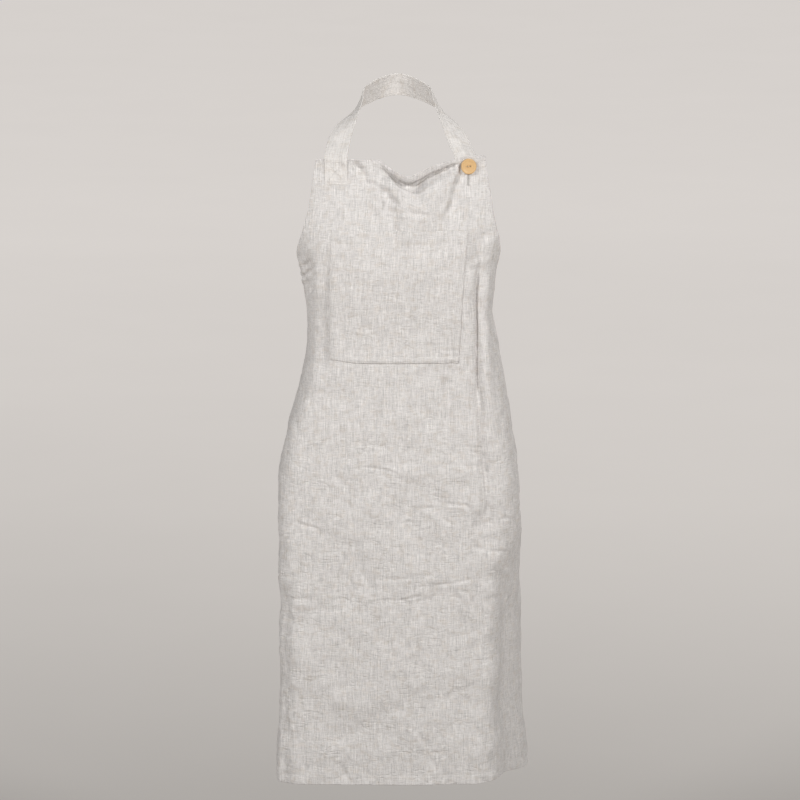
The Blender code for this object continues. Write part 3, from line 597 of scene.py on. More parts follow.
def crease_height(across, drop):
    total = np.zeros(np.broadcast(across, drop).shape)
    for across_a, drop_a, across_b, drop_b, width, height in CREASES:
        length = math.hypot(across_b - across_a, drop_b - drop_a)
        sideways, down = (across_b - across_a) / length, (drop_b - drop_a) / length
        along = (across - across_a) * sideways + (drop - drop_a) * down
        off = ((across - across_a) * down - (drop - drop_a) * sideways) / width
        off += CREASE_WANDER * np.sin(along / length * 7.0 + across_a * 90.0)
        ends = fading(along, length, min(length * 0.45, CREASE_FADE))
        total += height * ends * (hump(off, 0.0, 1.0) - 0.45 * hump(np.abs(off), 1.9, 1.0))
    return total


def crumple(across, drop):
    """Broken sharp lines where the washed cloth has creased."""
    lines = 0.0
    for seed, size_across, size_drop, height in BROKEN_LINES:
        noise = soft_noise(seed, across, drop, size_across, size_drop)
        mask = smooth((soft_noise(seed + 1, across, drop, 0.045, 0.045) + 0.05) / 0.35)
        lines = lines - height * mask * hump(noise, 0.0, 0.17)
    return lines


def seam_relief(distance, along, seed):
    """Groove and puckers beside a seam: distance from it, and the way along it, in metres."""
    pucker = soft_noise(seed, 0.0, along, 0.2, 0.0055) + 0.6 * soft_noise(seed + 1, 0.0, along, 0.2, 0.0031)
    return 0.00030 * pucker * hump(distance, 0.0, 0.0075) - 0.00022 * hump(distance, 0.0, SEAM_GROOVE)


def relief(across, drop):
    """Height of creases, wrinkles, hems and seam puckers over the smooth surface."""
    edge = half_width(drop) - np.abs(across)
    foot = PANEL_LENGTH - drop
    lower = smooth((drop - 0.26) / 0.24)
    height = crease_height(across, drop) + (0.45 + 0.65 * lower) * crumple(across, drop)
    for seed, size_across, size_drop, bib, skirt in WRINKLES:
        height += (bib + skirt * lower) * soft_noise(seed, across, drop, size_across, size_drop)
    rough = 0.45 + 0.65 * smooth((soft_noise(5, across, drop, 0.12, 0.12) + 0.3) / 0.9) + 0.9 * lower
    for centre, half, level, tall, amount in ROUGH_PLACES:
        rough += amount * hump(across, centre, half) * hump(drop, level, tall)
    height += rough * wrinkles(GRAIN, across, drop)
    for inside, hem, tall in ((foot, BOTTOM_HEM, 0.00032), (edge, SIDE_HEM, 0.00028),
                              (drop, TOP_HEM, 0.00030)):
        height += tall * falling((inside - hem) / HEM_STEP)
    height += 0.0011 * np.clip(1.0 - drop / TOP_HEM, 0.0, 1.0)
    height += seam_relief(foot - BOTTOM_SEAM, across, 21) + seam_relief(drop - TOP_SEAM, across, 23)
    height += seam_relief(edge - SIDE_SEAM, drop + np.sign(across) * 0.01, 25)
    flare = hump(across, 0.235, 0.05) * hump(foot, 0.0, 0.022)
    return height + 0.0010 * flare * soft_noise(8, across, drop, 0.0080, 0.05)


def cloth_normal(across, drop):
    return unit(read_table(NORMALS, drop / TABLE_STEP, (across + TABLE_REACH) / TABLE_STEP))


def on_cloth(across, drop, lift):
    """Places at a height over the middle of the fine cloth."""
    across, drop, lift = (np.array(part, float) for part in np.broadcast_arrays(across, drop, lift))
    place = read_table(PLACES, drop / TABLE_STEP, (across + TABLE_REACH) / TABLE_STEP)
    return place + cloth_normal(across, drop) * (lift + relief(across, drop))[..., None]


def round_edge(near, least=0.09):
    """Share of the full thickness, rounded off towards an edge: near is 0 there and 1 past the rounding."""
    return np.sqrt(np.clip(1.0 - (1.0 - np.clip(near, 0.0, 1.0)) ** 2, least, 1.0))


def add_object(name, data):
    item = bpy.data.objects.new(name, data)
    bpy.context.scene.collection.objects.link(item)
    return item


def add_piece(name, mesh, material, node=None, place=None):
    """A piece of the apron, in the stead of the frame's node where one is named."""
    item = add_object(name, mesh)
    mesh.materials.clear()
    mesh.materials.append(material)
    mesh.shade_smooth()
    if place is not None:
        item.matrix_world = place
    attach(item, "root")
    if node:
        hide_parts(node)
    return item


def mesh_from(name, points, faces, laid=None):
    """Mesh from points and faces, with cloth coordinates per point where they are given."""
    mesh = bpy.data.meshes.new(name)
    mesh.from_pydata(np.asarray(points).reshape(-1, 3).tolist(), [], [list(face) for face in faces])
    if laid is not None:
        layer = mesh.uv_layers.new(name="cloth")
        corner = np.zeros(len(mesh.loops), np.int32)
        mesh.loops.foreach_get("vertex_index", corner)
        layer.data.foreach_set("uv", np.asarray(laid, np.float32).reshape(-1, 2)[corner].ravel())
    mesh.validate()
    return mesh


def shell(name, outer, inner, laid, kept=None, step=1):
    """Closed sheet between two grids of points, less the cells not kept, its inner side in wider steps."""
    rows, cols = outer.shape[:2]
    kept = np.ones(((rows - 1) // step, (cols - 1) // step), bool) if kept is None else kept
    index = np.arange(rows * cols).reshape(rows, cols)
    under = index + rows * cols
    corners = [(0, 0), (1, 0), (1, 1), (0, 1)]
    r, c = np.nonzero(np.kron(kept, np.ones((step, step), bool)))
    top = np.stack([index[r + a, c + b] for a, b in corners], 1)
    r, c = np.nonzero(kept)
    bottom = np.stack([under[(r + a) * step, (c + b) * step] for a, b in reversed(corners)], 1)
    padded = np.pad(kept, 1)
    sides = []
    for k, beside in enumerate(((0, 1), (-1, 0), (0, -1), (1, 0))):
        rim_cells = np.argwhere(kept & ~np.roll(padded, beside, (0, 1))[1:-1, 1:-1])
        first, second = ((rim_cells + corners[at % 4]).T * step for at in (k, k + 1))
        rim = [index[tuple(second + (first - second) * part // step)] for part in range(step + 1)]
        sides += np.stack(rim + [under[tuple(first)], under[tuple(second)]], 1).tolist()
    points = np.vstack([outer.reshape(-1, 3), inner.reshape(-1, 3)])
    places = np.vstack([laid.reshape(-1, 2)] * 2)
    used = np.unique(np.concatenate([np.ravel(part) for part in (top, bottom, sides)]))
    renumber = np.zeros(len(points), int)
    renumber[used] = np.arange(len(used))
    faces = [renumber[face].tolist() for face in top.tolist() + bottom.tolist() + sides]
    return mesh_from(name, points[used], faces, places[used])


class Net:
    """A node tree of a material or of the world, with short ways to add to it."""

    def __init__(self, owner, shader="Principled BSDF"):
        owner.use_nodes = True
        self.tree = owner.node_tree
        self.shader = self.tree.nodes[shader]

    def feed(self, socket, value):
        if isinstance(value, bpy.types.NodeSocket):
            self.tree.links.new(value, socket)
        else:
            socket.default_value = value

    def set(self, **values):
        for key, value in values.items():
            self.feed(self.shader.inputs[key.replace("_", " ")], value)

    def add(self, kind, inputs=(), output=0, **settings):
        """One output of a new node with these inputs and settings."""
        node = self.tree.nodes.new("ShaderNode" + kind)
        for key, value in settings.items():
            setattr(node, key, value)
        for key, value in dict(inputs).items():
            self.feed(node.inputs[key], value)
        return node.outputs[output]

    def math(self, operation, *values):
        return self.add("Math", enumerate(values), operation=operation)

    def vector(self, operation, first, second):
        """Vector sum, product or, with a number as the second, scaling."""
        key = "Scale" if operation == "SCALE" else 1
        return self.add("VectorMath", {0: first, key: second}, operation=operation)

    def noise(self, place, scale, detail, roughness=0.5, **settings):
        inputs = {"Vector": place, "Scale": scale, "Detail": detail, "Roughness": roughness}
        return self.add("TexNoise", inputs, **settings)

    def streaks(self, place, across, along, shift, detail=2.0):
        """Noise stretched to a size across and a size along, about 0 in the middle."""
        scaled = self.vector("MULTIPLY", place, (1.0 / across, 1.0 / along, 1.0))
        moved = self.vector("ADD", scaled, (shift, shift * 0.7, 0.0))
        return self.math("SUBTRACT", self.noise(moved, 1.0, detail, 0.55, noise_dimensions="2D"), 0.5)

    def ramp(self, value, low, high, start, end, shape="LINEAR"):
        """From start to end while the value goes from low to high."""
        return self.add("MapRange", enumerate((value, low, high, start, end)), interpolation_type=shape)

    def total(self, *parts):
        """Sum of (value, factor) pairs."""
        result = 0.0
        for value, factor in parts:
            result = self.math("MULTIPLY_ADD", value, factor, result)
        return result

    def mix(self, amount, first, second):
        return self.add("Mix", {0: amount, 6: first, 7: (*second, 1.0)}, 2, data_type="RGBA")

    def bump(self, height, distance, strength):
        self.set(Normal=self.add("Bump", {"Height": height, "Distance": distance, "Strength": strength}))


def linen(name, colour, contrast):
    """Plain weave: warp and weft threads of uneven thickness, slubs, small flecks and soft clouds of tone."""
    material = bpy.data.materials.new(name)
    net = Net(material)
    place = net.add("UVMap", uv_map="cloth")
    warp = net.streaks(place, 0.0010, 0.017, 11.0)
    weft = net.streaks(place, 0.011, 0.0010, 23.0)
    wide_warp = net.streaks(place, 0.0023, 0.048, 37.0)
    wide_weft = net.streaks(place, 0.022, 0.0022, 41.0)
    cloud = net.streaks(place, 0.022, 0.016, 53.0, 3.0)
    grain = net.streaks(place, 0.0016, 0.0016, 61.0)
    shares = ((warp, 0.62), (weft, 0.46), (wide_warp, 0.34), (wide_weft, 0.20), (cloud, 0.14), (grain, 0.26))
    tone = net.total(*((part, share * contrast) for part, share in shares))
    shaded = net.vector("SCALE", colour, net.math("ADD", tone, 1.0))

    def flecks(across, along, shift, least):
        return net.math("GREATER_THAN", net.streaks(place, across, along, shift), least)

    slub = net.math("MAXIMUM", flecks(0.0013, 0.0110, 71.0, 0.195), flecks(0.0110, 0.0013, 83.0, 0.200))
    beige = net.mix(net.math("MULTIPLY", slub, 0.34), shaded, SLUB_TONE)
    warm = net.ramp(net.streaks(place, 0.013, 0.010, 89.0), 0.02, 0.20, 0.0, 0.17)
    beige = net.mix(warm, beige, WARM_TONE)
    pale = net.math("MULTIPLY", flecks(0.0014, 0.0160, 97.0, 0.20), 0.22)
    net.set(Base_Color=net.mix(pale, beige, PALE_TONE))

    across, down, _ = net.add("SeparateXYZ", {0: place}).node.outputs
    ridges = 0.0
    for shift, size_across, size_drop in ((131.0, 0.040, 0.0085), (151.0, 0.018, 0.0120)):
        ridge = net.math("ABSOLUTE", net.streaks(place, size_across, size_drop, shift, 1.0))
        ridge = net.ramp(ridge, 0.0, 0.11, 1.0, 0.0, "SMOOTHSTEP")
        there = net.ramp(net.streaks(place, 0.040, 0.030, shift + 9.0), 0.02, 0.14, 0.0, 1.0)
        ridges = net.math("MULTIPLY_ADD", ridge, there, ridges)
    ridges = net.math("MULTIPLY", ridges, net.ramp(down, 0.24, 0.46, 0.25, 1.0))
    waves = (net.math("SINE", net.math("MULTIPLY", part, 2.0 * math.pi / WEAVE)) for part in (across, down))
    crossing = net.math("MULTIPLY", *waves)
    rumple = net.noise(place, 95.0, 3.0, 0.6)
    height = net.total((crossing, 0.00005), (warp, 0.00022), (weft, 0.00022), (wide_warp, 0.00012),
                       (slub, 0.00004), (rumple, 0.0011), (ridges, -0.0005))
    net.bump(height, 1.0, 0.85)
    net.set(Roughness=0.92, Sheen_Weight=0.10, Sheen_Roughness=0.5, Specular_IOR_Level=0.18)
    return material


def twine(name, colour):
    """Twisted sewing thread."""
    material = bpy.data.materials.new(name)
    net = Net(material)
    place = net.add("TexCoord", output="Object")
    twist = net.add("TexWave", {"Vector": place, "Scale": 420.0, "Distortion": 2.0, "Detail": 1.0}, 1,
                    bands_direction="DIAGONAL")
    tone = net.total((twist, 0.20), (net.noise(place, 900.0, 2.0), 0.25))
    net.set(Base_Color=net.vector("SCALE", colour, net.math("ADD", tone, 0.78)))
    net.bump(twist, 0.0001, 0.7)
    net.set(Roughness=0.85, Sheen_Weight=0.1, Specular_IOR_Level=0.2)
    return material


def turned_wood(name):
    """Pale close-grained wood, cut along the grain and waxed."""
    material = bpy.data.materials.new(name)
    net = Net(material)
    place = net.add("TexCoord", output="Object")
    grain = net.noise(net.vector("MULTIPLY", place, (140.0, 700.0, 700.0)), 1.0, 5.0, 0.6)
    pore = net.noise(net.vector("MULTIPLY", place, (900.0, 5200.0, 5200.0)), 1.0, 1.0)
    rings = net.add("TexWave", {"Vector": place, "Scale": 150.0, "Distortion": 5.0, "Detail": 3.0,
                                "Detail Scale": 1.6}, 1, bands_direction="Y")
    warm = net.mix(net.math("MULTIPLY", rings, 0.30), WOOD_TONE, RING_TONE)
    warm = net.mix(net.ramp(grain, 0.35, 0.70, 0.0, 0.34), warm, GRAIN_TONE)
    dots = net.ramp(pore, 0.62, 0.72, 0.0, 0.45)
    net.set(Base_Color=net.mix(dots, warm, PORE_TONE))
    net.bump(net.total((grain, 0.6), (dots, -0.6)), 0.00008, 0.6)
    net.set(Roughness=net.ramp(grain, 0.3, 0.7, 0.42, 0.58), Coat_Weight=0.12, Coat_Roughness=0.35)
    return material


def plain_floor(name):
    """Pale floor that glows with a painted light of its own, dimmer near its middle."""
    material = bpy.data.materials.new(name)
    net = Net(material)
    place = net.add("TexCoord", output="Object")
    flat = net.vector("MULTIPLY", place, (0.125, 0.125, 0.0))
    away = net.add("VectorMath", {0: flat}, "Value", operation="LENGTH")
    glow = net.add("ValToRGB", {0: away})
    glow.node.color_ramp.interpolation = "B_SPLINE"
    stops = glow.node.color_ramp.elements
    for share, tone in FLOOR_GLOW:
        stops.new(share).color = (1.049 * tone, 0.995 * tone, 0.954 * tone, 1.0)
    stops.remove(stops[-1])
    stops.remove(stops[0])
    bright = net.math("MULTIPLY_ADD", net.noise(place, 3.0, 4.0), 0.03, 0.985)
    # Painted glow: the floor gives off light of its own, dim near its middle and brighter farther out.
    net.set(Base_Color=net.vector("SCALE", (0.46, 0.44, 0.42), bright),
            Emission_Color=net.vector("SCALE", glow, bright), Emission_Strength=1.0, Roughness=0.95,
            Specular_IOR_Level=0.1)
    return material


def tube_faces(rings, sides, first=0):
    """Faces round a tube whose points are numbered ring by ring from the first."""
    ring, at = np.divmod(np.arange((rings - 1) * sides), sides)
    start = first + ring * sides
    after = (at + 1) % sides
    return np.stack([start + at, start + after, start + sides + after, start + sides + at], 1)


def stitch_mesh(name, starts, ends, outs, radius=STITCH_RADIUS):
    """One small rounded stitch from each start to each end, bedded a little into the cloth."""
    starts, ends, outs = (np.vstack(part) for part in (starts, ends, outs))
    ahead = unit(ends - starts)
    side = unit(np.cross(ahead, outs))
    upward = np.cross(side, ahead)
    points = []
    for share, lift, size in ((0.0, -0.7, 0.35), (0.22, 0.35, 1.0), (0.78, 0.35, 1.0), (1.0, -0.7, 0.35)):
        centre = starts + (ends - starts) * share + upward * lift * radius
        for angle in np.arange(5) * 2.0 * math.pi / 5:
            points.append(centre + radius * size * (math.cos(angle) * side + math.sin(angle) * upward))
    first = 20 * np.arange(len(starts))[:, None, None]
    quads = (tube_faces(4, 5) + first).reshape(-1, 4)
    caps = (np.array([[4, 3, 2, 1, 0], [15, 16, 17, 18, 19]]) + first).reshape(-1, 5)
    return mesh_from(name, np.stack(points, 1), quads.tolist() + caps.tolist())


def add_stitches(name, parts, material, radius=STITCH_RADIUS):
    return add_piece(name, stitch_mesh(name, *zip(*parts), radius), material)


def run_of_stitches(path, outs):
    """Starts, ends and outward ways of the stitches along a path of points."""
    length = length_along(path)
    count = max(int(length[-1] / STITCH_PITCH), 1)
    step = length[-1] / count
    begin = (np.arange(count) + STITCH_GAP / 2) * step
    end = begin + step * (1.0 - STITCH_GAP)

    def at(values, places):
        return np.stack([np.interp(places, length, values[:, k]) for k in range(3)], 1)

    return at(path, begin), at(path, end), at(outs, (begin + end) / 2)


def cloth_seam(across, drop, lift, way=1.0):
    """Stitches along a line on the cloth, at a height over its middle, seen from the side that way names."""
    return run_of_stitches(on_cloth(across, drop, lift), way * cloth_normal(across, drop))


def hemmed_thickness(edges, hems, single, folded):
    """Thickness at distances from a sheet's edges: folded inside its hems, rounded off at its edges."""
    edges = np.broadcast_arrays(*edges)
    hem = falling(np.min([edge - width for edge, width in zip(edges, hems)], axis=0) / HEM_STEP)
    return (single + (folded - single) * hem) * round_edge(np.min(edges, axis=0) / EDGE_ROUND)


def panel_drops():
    """The panel's rows, closer together where its relief is fine, with the slit's ends on two of them."""
    windows = list(PANEL_WINDOWS)
    for _, drop_a, _, drop_b, width, _ in CREASES:
        if abs(drop_a - drop_b) < 0.014 and drop_a > 0.31:
            windows.append(((drop_a + drop_b) / 2, abs(drop_a - drop_b) / 2 + width, 0.0020))
    fine = np.linspace(0.0, PANEL_LENGTH, 6000)
    density = np.full(len(fine), 1.0 / PANEL_STEP)
    for centre, reach, step in windows:
        beyond = np.maximum(np.abs(fine - centre) - reach, 0.0)
        density = np.maximum(density, hump(beyond, 0.0, 0.6 * PANEL_STEP) / step)
    amount = np.append(0.0, np.cumsum((density[1:] + density[:-1]) / 2))
    drops = np.interp(np.linspace(0.0, amount[-1], PANEL_ROWS), amount, fine)
    for mark in (SLIT_TOP, SLIT_END):
        drops[2 * np.abs(drops[::2] - mark).argmin()] = mark
    drops[1::2] = (drops[:-1:2] + drops[2::2]) / 2
    return drops


def panel_columns(drops):
    """Cloth's width at each drop from its middle to one edge, closest at the deep fold and the slit."""
    drops = drops[:, None]
    edge = half_width(drops)
    rim = edge - RIM_INSET
    fold = np.minimum((0.76 + 0.13 * smooth((drops - 0.06) / 0.08)) * rim, FOLD_LINE)
    line = fold + (0.437 - 0.137 * smooth((drops - 0.10) / 0.12)) * (rim - fold)
    line = BUTTON_ACROSS + (line - BUTTON_ACROSS) * smooth((drops - 0.042) / 0.06)
    near = np.minimum(0.006, 0.42 * (line - fold))
    lip = line + SLIT_GAPE / 2

    def steps(start, end, count, growth=1.0):
        return start + (end - start) * np.linspace(0.0, 1.0, count + 1)[1:] ** growth

    return np.hstack([0.0 * edge, steps(0.0, fold - near, 62), steps(fold - near, fold + near, 13),
                      steps(fold + near, line - SLIT_GAPE / 2, 15), line, lip, steps(lip, rim, 30, 1.25),
                      edge - EDGE_INSETS])


def make_panel(material):
    drops = panel_drops()
    side = panel_columns(drops)
    across = np.hstack([-side[:, :0:-1], side])
    drop = np.broadcast_to(drops[:, None], across.shape)
    edges = (half_width(drop) - np.abs(across), PANEL_LENGTH - drop, drop)
    half = hemmed_thickness(edges, (SIDE_HEM, BOTTOM_HEM, TOP_HEM), CLOTH_THICK, HEM_THICK) / 2
    kept = np.ones((len(drops) // 2, across.shape[1] // 2), bool)
    hole = (drops[:-1:2] > SLIT_TOP - 1e-6) & (drops[2::2] < SLIT_END + 1e-6)
    kept[hole, np.abs(across[0] - (BUTTON_ACROSS - SLIT_GAPE / 2)).argmin() // 2] = False
    mesh = shell("apron_cloth", on_cloth(across, drop, half), on_cloth(across, drop, -half),
                 np.stack([across, drop], 2), kept, 2)
    return add_piece("apron_cloth", mesh, material, "apron_panel")


def make_hem_stitches(material):
    parts = []
    levels = np.linspace(0.006, PANEL_LENGTH - 0.006, 700)
    foot, top = (np.linspace(0.004 - width / 2, width / 2 - 0.004, count)
                 for width, count in ((SKIRT_WIDTH, 500), (BIB_WIDTH, 300)))
    for way in (1.0, -1.0):
        lift = way * HEM_THICK / 2
        parts.append(cloth_seam(foot, PANEL_LENGTH - BOTTOM_SEAM, lift, way))
        parts.append(cloth_seam(top, TOP_SEAM, lift, way))
        for side in (-1.0, 1.0):
            parts.append(cloth_seam(side * (half_width(levels) - SIDE_SEAM), levels, lift, way))
    return add_stitches("hem_stitches", parts, material)


def make_buttonhole(material):
    """Close satin stitches along both lips of the slit and a bar across each end."""
    parts = []

    def stitches(start, end, lift, seat):
        parts.append((on_cloth(*start, lift), on_cloth(*end, lift), cloth_normal(*seat)))

    levels = np.arange(SLIT_TOP - 0.0006, SLIT_END + 0.0006, 0.00055)
    lift = HEM_THICK / 2 * 0.8
    for side in (-1.0, 1.0):
        inner, outer = (BUTTON_ACROSS + side * (SLIT_GAPE / 2 + away) for away in (0.0001, 0.0021))
        height = np.where(levels < TOP_HEM, lift, CLOTH_THICK / 2 * 0.9)
        stitches((inner, levels), (outer, levels), height, (inner, levels))
    wide = BUTTON_ACROSS + np.linspace(-0.0022, 0.0022, 7)
    for level in (SLIT_TOP - 0.0008, SLIT_END + 0.0008):
        height = lift if level < TOP_HEM else CLOTH_THICK / 2
        stitches((wide, level - 0.0009), (wide, level + 0.0009), height, (wide, level))
    return add_stitches("buttonhole_stitches", parts, material, 0.00030)


def pocket_edges(share):
    """Left edge, right edge at a share of the pocket's height."""
    return POCKET_SHIFT - POCKET_WIDTH / 2, POCKET_SHIFT + POCKET_WIDTH / 2 - POCKET_SLANT * share


def pocket_foot(across):
    """Drop of the pocket's lower edge, which the seam draws up a little at its left end."""
    left = pocket_edges(0.0)[0]
    return POCKET_DROP + POCKET_HEIGHT - POCKET_DRAW * falling((across - left) / 0.050)


def pocket_drop(across, share):
    """Drop at a share of the way down the pocket."""
    return POCKET_DROP + share * (pocket_foot(across) - POCKET_DROP)


def pocket_surface(across, drop):
    """Height of the pocket's middle over the panel's middle, and its thickness."""
    foot = pocket_foot(across) - drop
    mouth = drop - POCKET_DROP
    left, right = pocket_edges(np.clip(mouth / (foot + mouth), 0.0, 1.0))
    side = np.minimum(across - left, right - across)
    sewn = np.minimum(side, foot)
    thickness = hemmed_thickness((sewn, mouth), (POCKET_HEM, MOUTH_HEM), CLOTH_THICK, POCKET_FOLDED)
    slack = 0.0003 + 0.0004 * soft_noise(31, across, drop, 0.045, 0.060)
    height = CLOTH_THICK / 2 + 0.00012 + thickness / 2 + slack * smooth(sewn / 0.03) * smooth(mouth / 0.03)
    height += 0.0007 * hump(foot, 0.0046, 0.0028) * smooth((across - left) / 0.05)
    for seam, depth in zip(POCKET_SEAMS, (0.00020, 0.00018)):
        height -= depth * hump(sewn, seam, SEAM_GROOVE)
    height -= 0.00016 * hump(mouth, MOUTH_SEAM, SEAM_GROOVE) * smooth(side / 0.004)
    height += 0.00016 * soft_noise(33, across, drop, 0.0060, 0.0060) * hump(sewn, 0.005, 0.006)
    return height, thickness


def make_pocket(material):
    beside = POCKET_INSETS / POCKET_WIDTH
    spread = np.unique(np.concatenate([np.linspace(0.0, 1.0, POCKET_COLUMNS), beside, 1.0 - beside]))
    share = np.unique(np.concatenate([np.linspace(0.0, 1.0, POCKET_ROWS), MOUTH_INSETS / POCKET_HEIGHT,
                                      1.0 - POCKET_INSETS / POCKET_HEIGHT]))[:, None]
    left, right = pocket_edges(share)
    across = left + (right - left) * spread
    drop = pocket_drop(across, share)
    height, thickness = pocket_surface(across, drop)
    mesh = shell("pocket_cloth", on_cloth(across, drop, height + thickness / 2),
                 on_cloth(across, drop, height - thickness / 2), np.stack([across + 0.31, drop + 0.13], 2))
    return add_piece("pocket_cloth", mesh, material, "patch_pocket")


def make_pocket_stitches(material):
    parts = []

    def seam(across, drop):
        height, thickness = pocket_surface(across, drop)
        parts.append(cloth_seam(across, drop, height + thickness / 2))

    for inset in POCKET_SEAMS:
        share = np.linspace(0.008, 1.0 - inset / POCKET_HEIGHT, 200)
        left, right = pocket_edges(share)
        for line in (left + inset, right - inset):
            seam(line, pocket_drop(line, share))
        left, right = pocket_edges(1.0)
        line = np.linspace(left + inset, right - inset, 200)
        seam(line, pocket_foot(line) - inset)
    left, right = pocket_edges(0.08)
    seam(np.linspace(left + 0.004, right - 0.004, 200), POCKET_DROP + MOUTH_SEAM)
    return add_stitches("pocket_stitches", parts, material)


def ribbon_points(rows, count):
    """Grid of middle points along a ribbon, smooth through its rows, evenly spaced in its run."""
    runs, points = (np.array(part) for part in zip(*rows))
    at = np.linspace(runs[0], runs[-1], count)
    grid = np.empty((count,) + points.shape[1:])
    for place in np.ndindex(points.shape[1:]):
        grid[(slice(None), *place)] = through(runs, points[(slice(None), *place)], at)
    for _ in range(3):
        grid[1:-1] = (grid[:-2] + 2.0 * grid[1:-1] + grid[2:]) / 4.0
    return grid


def ribbon(name, middle, width, thickness, waves, material, node):
    """Closed ribbon round a grid of middle points, its seams' stitches, and its length."""
    normal = grid_normals(middle)
    length = length_along(middle[:, middle.shape[1] // 2])
    side = np.broadcast_to(FINE_SPREAD * width / 2, middle.shape[:2])
    run = np.broadcast_to(length[:, None], side.shape)
    seam_off = np.abs(side) - RIBBON_SEAM * width / 2
    pucker = soft_noise(len(name) + 40, side, run, 0.2, 0.0050) * hump(seam_off, 0.0, 0.004)
    middle = middle + normal * (waves(side, run) + 0.00012 * pucker)[..., None]
    ends = np.minimum(run, length[-1] - run) / RIBBON_END
    near = np.minimum((width / 2 - np.abs(side)) / (thickness / 2), ends)
    start = 1.0 - 0.30 * falling(run / 0.035) - 0.35 * falling(run / 0.006)
    groove = 0.00016 * hump(seam_off, 0.0, 0.0007)
    half = (thickness / 2 * round_edge(near, 0.06) * start - groove)[..., None]
    laid = np.stack([side + 0.02 * len(name), run], 2)
    mesh = shell(name, middle + normal * half, middle - normal * half, laid)
    parts = []
    for face in (1.0, -1.0):
        for edge in (-RIBBON_SEAM, RIBBON_SEAM):
            col = int(np.abs(FINE_SPREAD - edge).argmin())
            path = (middle + face * normal * (half - STITCH_RADIUS * 0.2))[:, col]
            parts.append(run_of_stitches(path[1:-1], face * normal[1:-1, col]))
    return add_piece(name, mesh, material, node), parts, length[-1]


def on_hem(across, drop, lift):
    """Places at a height over the outer face of the fine cloth, which its top hem raises."""
    face = CLOTH_THICK / 2 + (HEM_THICK - CLOTH_THICK) / 2 * falling((drop - TOP_HEM) / 0.004)
    return on_cloth(across, drop, lift + face + 0.0001)


def lap_rows(across, drops, lift, runs, surface):
    """Rows of a strap's lap, lying on the cloth, each from its outer to its inner edge."""
    edges = across - math.copysign(STRAP_WIDTH / 2, across) * FINE_SPREAD
    lifts = np.broadcast_to(lift, drops.shape)
    return [(run, surface(edges, drop, up)) for run, drop, up in zip(runs, drops, lifts)]


def shoulder_rows(table, way):
    rows = []
    for run, out, back, up, in_x, in_y, in_z in table:
        middle = np.array([way * out * NECK_RADIUS, (back - 1.0) * NECK_RADIUS, -up * BIB_TOP])
        inwards = unit(np.array([-way * in_x, in_y, in_z])) * STRAP_WIDTH / 2
        rows.append((way * (1.0 - run), middle + FINE_SPREAD[:, None] * inwards))
    return rows


def strap_waves(side, run):
    """Soft lengthwise fold, waves and small wrinkles of the strap, fading into its sewn laps."""
    free = smooth((run - 0.040) / 0.02) * smooth((0.545 - run) / 0.03)
    beyond = -side - 0.0008
    fold = 0.15 * (np.sqrt(beyond ** 2 + 0.0012 ** 2) + beyond) * smooth((run - 0.40) / 0.03)
    return free * (fold + wrinkles(STRAP_WRINKLES, side, run))


def make_neck_strap(material):
    corner = (BIB_WIDTH - STRAP_WIDTH) / 2
    down = np.linspace(0.0, 1.0, 9)
    pressed = STRAP_THICK / 2 * (0.55 + 0.45 * smooth(down))
    sewn = lap_rows(STRAP_INSET - corner, STRAP_LAP * (1.0 - down), pressed, -1.4 + 0.4 * down, on_hem)
    buttoned = lap_rows(corner - BUTTONED_INSET, BUTTONED_LAP * down, -(HEM_THICK + STRAP_THICK) / 2 - 0.0014,
                        1.0 + 0.4 * down, lambda *at: lifted(*at, worn_point))
    nape_in = np.array([0.0, -math.sin(NAPE_TILT), math.cos(NAPE_TILT)]) * STRAP_WIDTH / 2
    nape = np.array([0.0, STRAP_CLOTH / 2, 0.0]) + FINE_SPREAD[:, None] * nape_in
    left, right = shoulder_rows(STRAP_LEFT, -1.0), shoulder_rows(STRAP_RIGHT, 1.0)
    rows = sewn + left + [(0.0, nape)] + right[::-1] + buttoned
    return ribbon("neck_strap_cloth", ribbon_points(rows, STRAP_ROWS), STRAP_WIDTH, STRAP_THICK, strap_waves,
                  material, "neck_strap")


def make_strap_box(material):
    """Stitched box that holds the strap's sewn lap."""
    inset = 0.0040
    near = STRAP_INSET - BIB_WIDTH / 2 + inset
    far = near + STRAP_WIDTH - 2 * inset
    low, high = inset, STRAP_LAP - inset
    share = np.linspace(0.02, 0.98, 60)
    parts = []
    for x0, y0, x1, y1 in ((near, high, far, high), (near, low, far, low), (near, low, far, high),
                           (near, high, far, low)):
        parts.append(cloth_seam(x0 + (x1 - x0) * share, y0 + (y1 - y0) * share,
                                HEM_THICK / 2 + CLEARANCE + STRAP_THICK))
    return add_stitches("strap_box_stitches", parts, material)


def button_frame():
    """Matrix at the button's back: +X across, +Y up along the cloth, +Z out of its outer side."""
    centre, raised = (Vector(lifted(BUTTON_ACROSS, BUTTON_DROP, lift)) for lift in (0.0, 0.01))
    out = (raised - centre).normalized()
    left, right = (Vector(cloth_point(BUTTON_ACROSS + step, BUTTON_DROP)) for step in (-0.004, 0.004))
    sideways = right - left
    sideways = (sideways - out * sideways.dot(out)).normalized()
    turn = Matrix((sideways, out.cross(sideways), out)).transposed().to_4x4()
    return Matrix.Translation(centre) @ turn @ Matrix.Translation((0.0, 0.0, BUTTON_LIFT))


